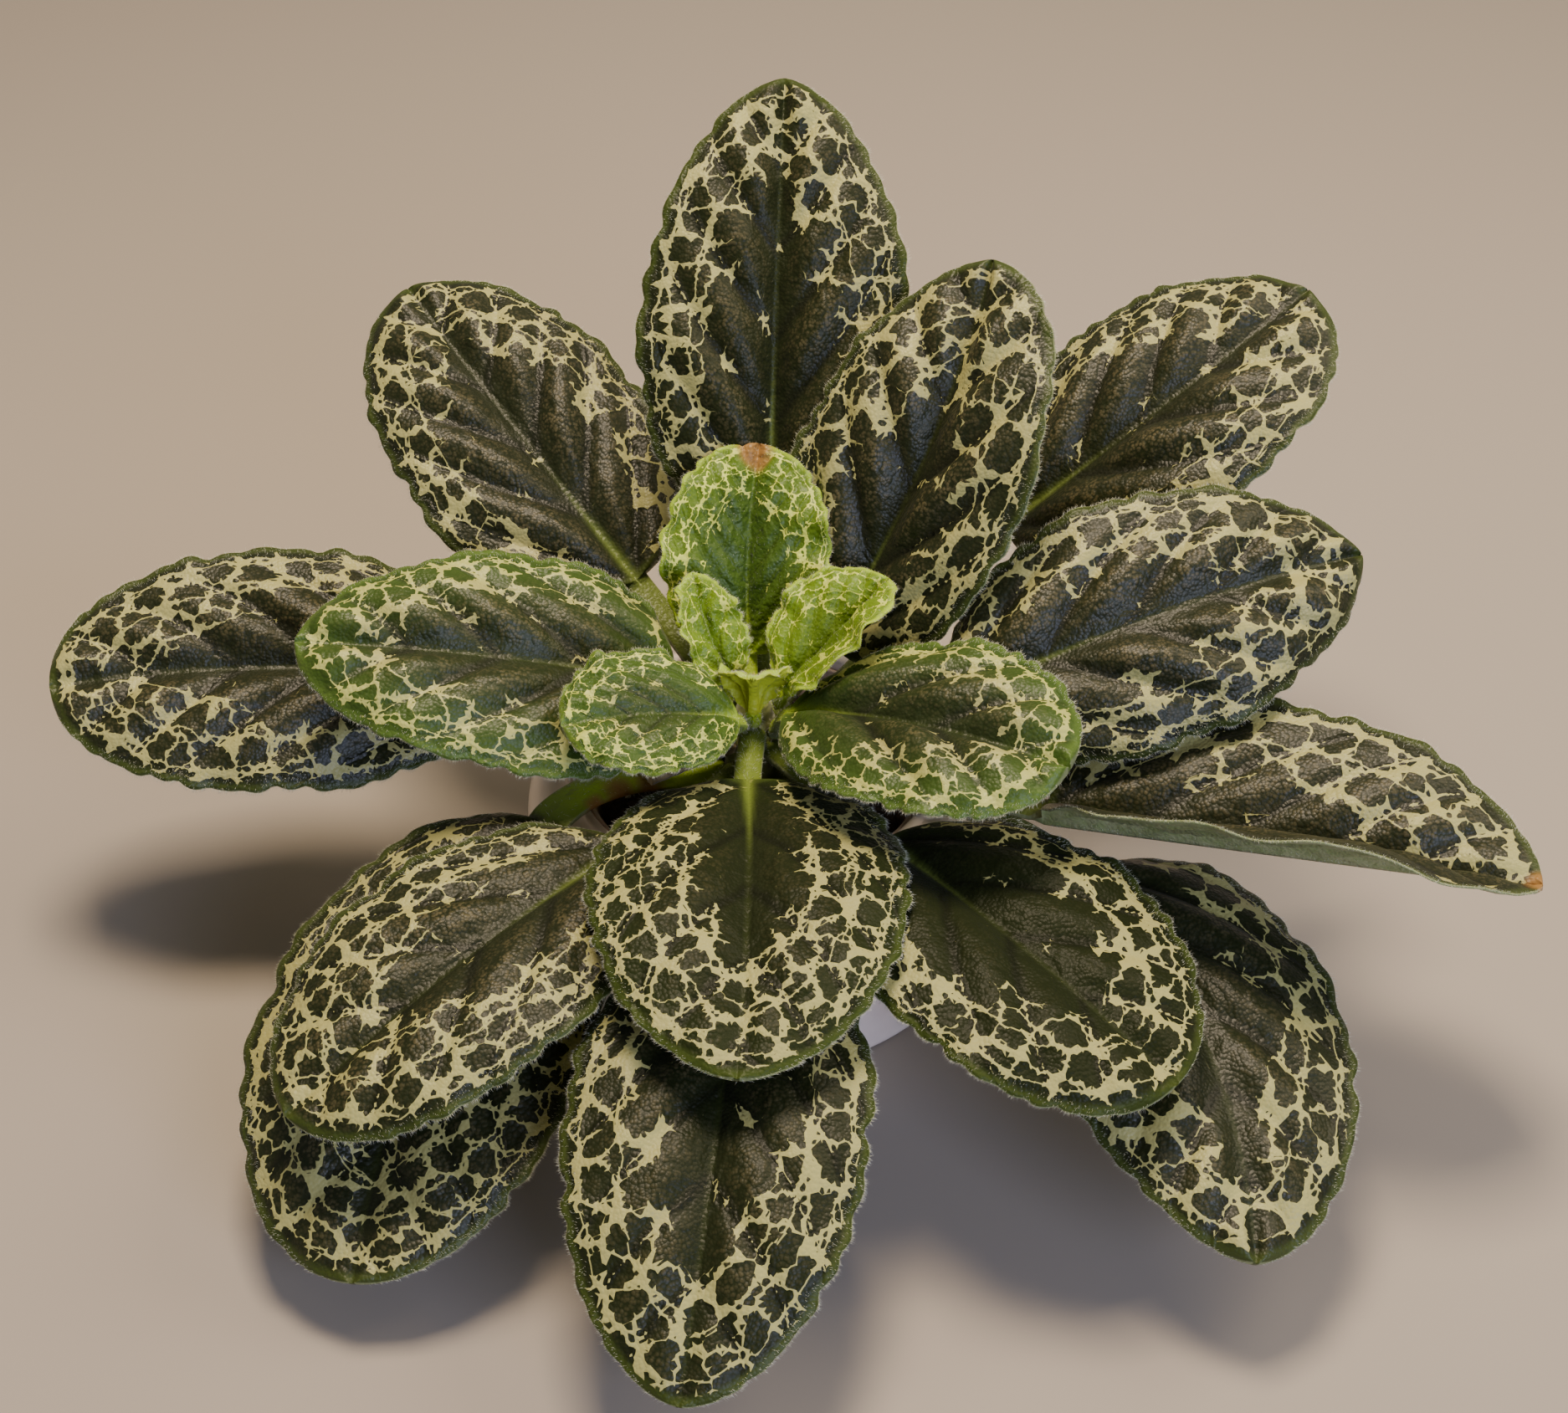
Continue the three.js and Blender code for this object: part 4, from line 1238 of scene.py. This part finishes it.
def make_leaves(young, name, cell, net, settings):
    """Makes all leaves of one age in one skin, whose cell is given in metres."""
    material = leaf_skin(name, cell / MM, *net, settings)
    for number, leaf in enumerate(LEAVES):
        if leaf.young == young:
            make_leaf(leaf, number, material)


class PLANT_OT_leaves(bpy.types.Operator):
    """Makes the grown leaves"""

    bl_idname = "plant.leaves"
    bl_label = "Grown leaves"

    def execute(self, context):
        settings = context.scene.plant_leaf
        make_leaves(False, "mature netted leaf skin", settings.net_cell, GROWN_NET, settings)
        return {"FINISHED"}


class PLANT_OT_young_leaves(bpy.types.Operator):
    """Makes the young leaves"""

    bl_idname = "plant.young_leaves"
    bl_label = "Young leaves"

    def execute(self, context):
        settings = context.scene.plant_leaf
        make_leaves(True, "young netted leaf skin", settings.young_net_cell, YOUNG_NET, settings)
        return {"FINISHED"}


# Seed of the hairs' draws, how many hairs stand on each young upper face, on the rib below each grown
# leaf and on each stalk, and the share of a margin's hairs that stand on its very edge.
DOWN_SEED = 11
YOUNG_FACE_HAIRS = 900
RIB_HAIRS = 300
STALK_HAIRS = 260
EDGE_SHARE = 0.55


def hairs(name, sets, thickness, material):
    """Hairs as closed three-sided spikes: a small triangle at the root and a point at the tip. Each
    set gives the roots, ways and lengths of some of them."""
    roots, ways, lengths = (np.concatenate(part) for part in zip(*sets))
    ways = unit(ways)
    helper = np.where(np.abs(ways[:, 2:]) < 0.8, UP, np.array([1.0, 0, 0]))
    first = unit(np.cross(ways, helper))
    second = np.cross(ways, first)
    corners = []
    for step in range(3):
        angle = step * 2 * math.pi / 3
        offset = first * math.cos(angle) + second * math.sin(angle)
        corners.append(roots - ways * 0.1 + offset * thickness / 2)
    corners.append(roots + ways * lengths[:, None])
    points = kept_inside(np.stack(corners, axis=1).reshape(-1, 3))
    shape = np.array([[0, 1, 3], [1, 2, 3], [2, 0, 3], [2, 1, 0]])
    faces = (shape[None] + np.arange(len(roots))[:, None, None] * 4).reshape(-1, 3)
    obj = make_mesh(name, points * MM, [], faces)
    place_piece(obj, [], material)


def margin_hairs(leaf, per_mm, longest, rng):
    """Roots, ways and lengths of hairs along both edges of a blade, in millimetres. A little more than
    half of them stand on the very edge, and the others on the upper face of the margin's band."""
    count = int(2.4 * blade_length(leaf) * per_mm)
    theta = np.arccos(rng.uniform(-1, 1, count))
    hand = rng.choice([-1.0, 1.0], count)
    on_edge = rng.random(count) < EDGE_SHARE
    reach = np.where(on_edge, 1.0, rng.uniform(0.86, 1.0, count))
    face = np.where(on_edge, rng.uniform(-0.6, 0.9, count), 1.0)
    roots, facing = blade(leaf, theta, hand * reach, face)
    inside, _ = blade(leaf, theta, hand * (reach - 0.1), face)
    outward = unit(roots - inside)
    _, tangent, _, _ = midrib(leaf, outline(leaf, theta)[0])
    lift = np.where(on_edge, rng.normal(0.1, 0.45, count), rng.uniform(0.3, 0.9, count))
    lean = rng.normal(0.3, 0.35, count)
    ways = outward + facing * lift[:, None] + tangent * lean[:, None]
    lengths = longest * rng.uniform(0.35, 1.0, count) * np.where(on_edge, 1.0, 0.6)
    return roots, ways, lengths


def face_hairs(leaf, count, longest, spread, face, rng):
    """Roots, ways and lengths of hairs on one face of a blade, in millimetres. spread is how far from
    the midrib they stand, as a share of the half width."""
    theta = np.arccos(rng.uniform(-1, 1, count))
    across = rng.uniform(-spread, spread, count)
    roots, facing = blade(leaf, theta, across, np.full(count, face))
    _, tangent, _, _ = midrib(leaf, outline(leaf, theta)[0])
    ways = facing * face + 0.5 * tangent + rng.normal(0, 0.35, (count, 3))
    return roots, ways, longest * rng.uniform(0.4, 1.0, count)


def stalk_hairs(leaf, longest, rng):
    """Roots, ways and lengths of hairs all round a stalk, in millimetres."""
    count = STALK_HAIRS
    share = rng.uniform(0.02, 0.98, count)
    across = rng.uniform(-1, 1, count)
    face = rng.choice([-1.0, 1.0], count)
    roots, facing = stalk(leaf, share, across, face)
    centre, _ = stalk(leaf, share, np.zeros(count), face * 0.0)
    ways = unit(roots - centre) + facing * 0.3 + rng.normal(0, 0.2, (count, 3))
    return roots, ways, longest * rng.uniform(0.4, 1.0, count)


class PLANT_OT_down(bpy.types.Operator):
    """Makes the hairs on the margins, the stalks, the young faces and the ribs below"""

    bl_idname = "plant.down"
    bl_label = "Down"

    def execute(self, context):
        settings = context.scene.plant_down
        longest = settings.length / MM
        thickness = settings.thickness / MM
        rng = np.random.default_rng(DOWN_SEED)
        material = down_material("silvery plant down", settings.colour)
        for young, name, slot in (
            (False, "margin_down", "mature_leaf"), (True, "young_margin_down", "young_leaf"),
        ):
            chosen = [leaf for leaf in LEAVES if leaf.young == young]
            margin = longest * (0.85 if young else 1)
            sets = [margin_hairs(leaf, settings.per_mm, margin, rng) for leaf in chosen]
            where = (YOUNG_FACE_HAIRS, 0.45 * longest, 0.95, 1.0)
            if not young:
                where = (RIB_HAIRS, 0.9 * longest, 0.1, -1.0)
            sets += [face_hairs(leaf, *where, rng) for leaf in chosen]
            hairs(name, sets, thickness, material)
        sets = [stalk_hairs(leaf, longest, rng) for leaf in LEAVES]
        hairs("stalk_down", sets, thickness, material)
        return {"FINISHED"}


# Camera, in millimetres and degrees: the photograph's viewing point, tilt and lens.
CAMERA_PLACE = (5.8, -376.8, 360.4)
CAMERA_TILT = 39.0
CAMERA_FOCAL_PIXELS = 3000.0
PHOTO_WIDTH_PIXELS = 1874.0
SENSOR_WIDTH = 36.0

# Lights: name, place and size in millimetres, share of the key light's power, and colour.
LIGHT_TARGET = (0, 0, 60)
LIGHTS = (
    ("warm key light", (-40, 120, 860), 260, 1.0, "#ffe8cc"),
    ("warm fill light", (520, 120, 640), 420, 0.3, "#ffecd2"),
    ("cool front light", (480, -850, 460), 500, 0.8, "#ccd6ff"),
)


def add_light(name, place, size, power, colour):
    """A square soft light that faces the plant, with its place and size in millimetres."""
    data = bpy.data.lights.new(name, "AREA")
    data.shape = "SQUARE"
    data.size = size * MM
    data.energy = power
    data.color = colour
    light = bpy.data.objects.new(name, data)
    bpy.context.scene.collection.objects.link(light)
    light.location = Vector(place) * MM
    way = (Vector(LIGHT_TARGET) - Vector(place)).normalized()
    light.rotation_euler = way.to_track_quat("-Z", "Y").to_euler()


class PLANT_OT_stage(bpy.types.Operator):
    """Makes the floor, the soft lights and the camera"""

    bl_idname = "plant.stage"
    bl_label = "Stage"

    def execute(self, context):
        scene = context.scene
        settings = scene.plant_stage
        half = 4.0
        corners = np.array([[-half, -half, 0], [half, -half, 0], [half, half, 0], [-half, half, 0]])
        floor = make_mesh("floor", corners, [[0, 1, 2, 3]])
        material, _, _ = new_material(
            "painted board", **{"Base Color": rgba(settings.floor_colour), "Roughness": 0.8})
        floor.data.materials.append(material)

        world = bpy.data.worlds.new("soft room")
        world.use_nodes = True
        background = world.node_tree.nodes["Background"]
        background.inputs["Color"].default_value = rgba(linear("#f0e8da"))
        background.inputs["Strength"].default_value = settings.room_light
        scene.world = world
        for name, place, size, share, code in LIGHTS:
            add_light(name, place, size, settings.key_power * share, linear(code))

        data = bpy.data.cameras.new("camera")
        data.sensor_width = SENSOR_WIDTH
        data.lens = CAMERA_FOCAL_PIXELS * SENSOR_WIDTH / PHOTO_WIDTH_PIXELS
        data.clip_start = 0.01
        camera = bpy.data.objects.new("camera", data)
        scene.collection.objects.link(camera)
        camera.location = Vector(CAMERA_PLACE) * MM
        camera.rotation_euler = ((90 - CAMERA_TILT) * DEGREE, 0, 0)
        scene.camera = camera
        return {"FINISHED"}


OPERATORS = (
    PLANT_OT_pot, PLANT_OT_grow_pot, PLANT_OT_mix, PLANT_OT_stem, PLANT_OT_cut_stalk,
    PLANT_OT_leaves, PLANT_OT_young_leaves, PLANT_OT_down, PLANT_OT_stage,
)


class PLANT_PT_pieces(bpy.types.Panel):
    """Lists the pieces that can be made"""

    bl_label = "Potted primulina"
    bl_idname = "PLANT_PT_pieces"
    bl_space_type = "VIEW_3D"
    bl_region_type = "UI"
    bl_category = "Plant"

    def draw(self, context):
        for operator in OPERATORS:
            self.layout.operator(operator.bl_idname)


SETTINGS = {
    "plant_pot": PotSettings,
    "plant_leaf": LeafSettings,
    "plant_down": DownSettings,
    "plant_mix": MixSettings,
    "plant_stage": StageSettings,
}


def register():
    for cls in (*SETTINGS.values(), *OPERATORS, PLANT_PT_pieces):
        bpy.utils.register_class(cls)
    for name, cls in SETTINGS.items():
        setattr(bpy.types.Scene, name, PointerProperty(type=cls))


def unregister():
    for name in SETTINGS:
        delattr(bpy.types.Scene, name)
    for cls in reversed((*SETTINGS.values(), *OPERATORS, PLANT_PT_pieces)):
        bpy.utils.unregister_class(cls)


def main():
    register()
    bpy.ops.plant.pot()
    bpy.ops.plant.grow_pot()
    bpy.ops.plant.mix()
    bpy.ops.plant.stem()
    bpy.ops.plant.cut_stalk()
    bpy.ops.plant.leaves()
    bpy.ops.plant.young_leaves()
    bpy.ops.plant.down()
    bpy.ops.plant.stage()


if __name__ == "__main__":
    main()
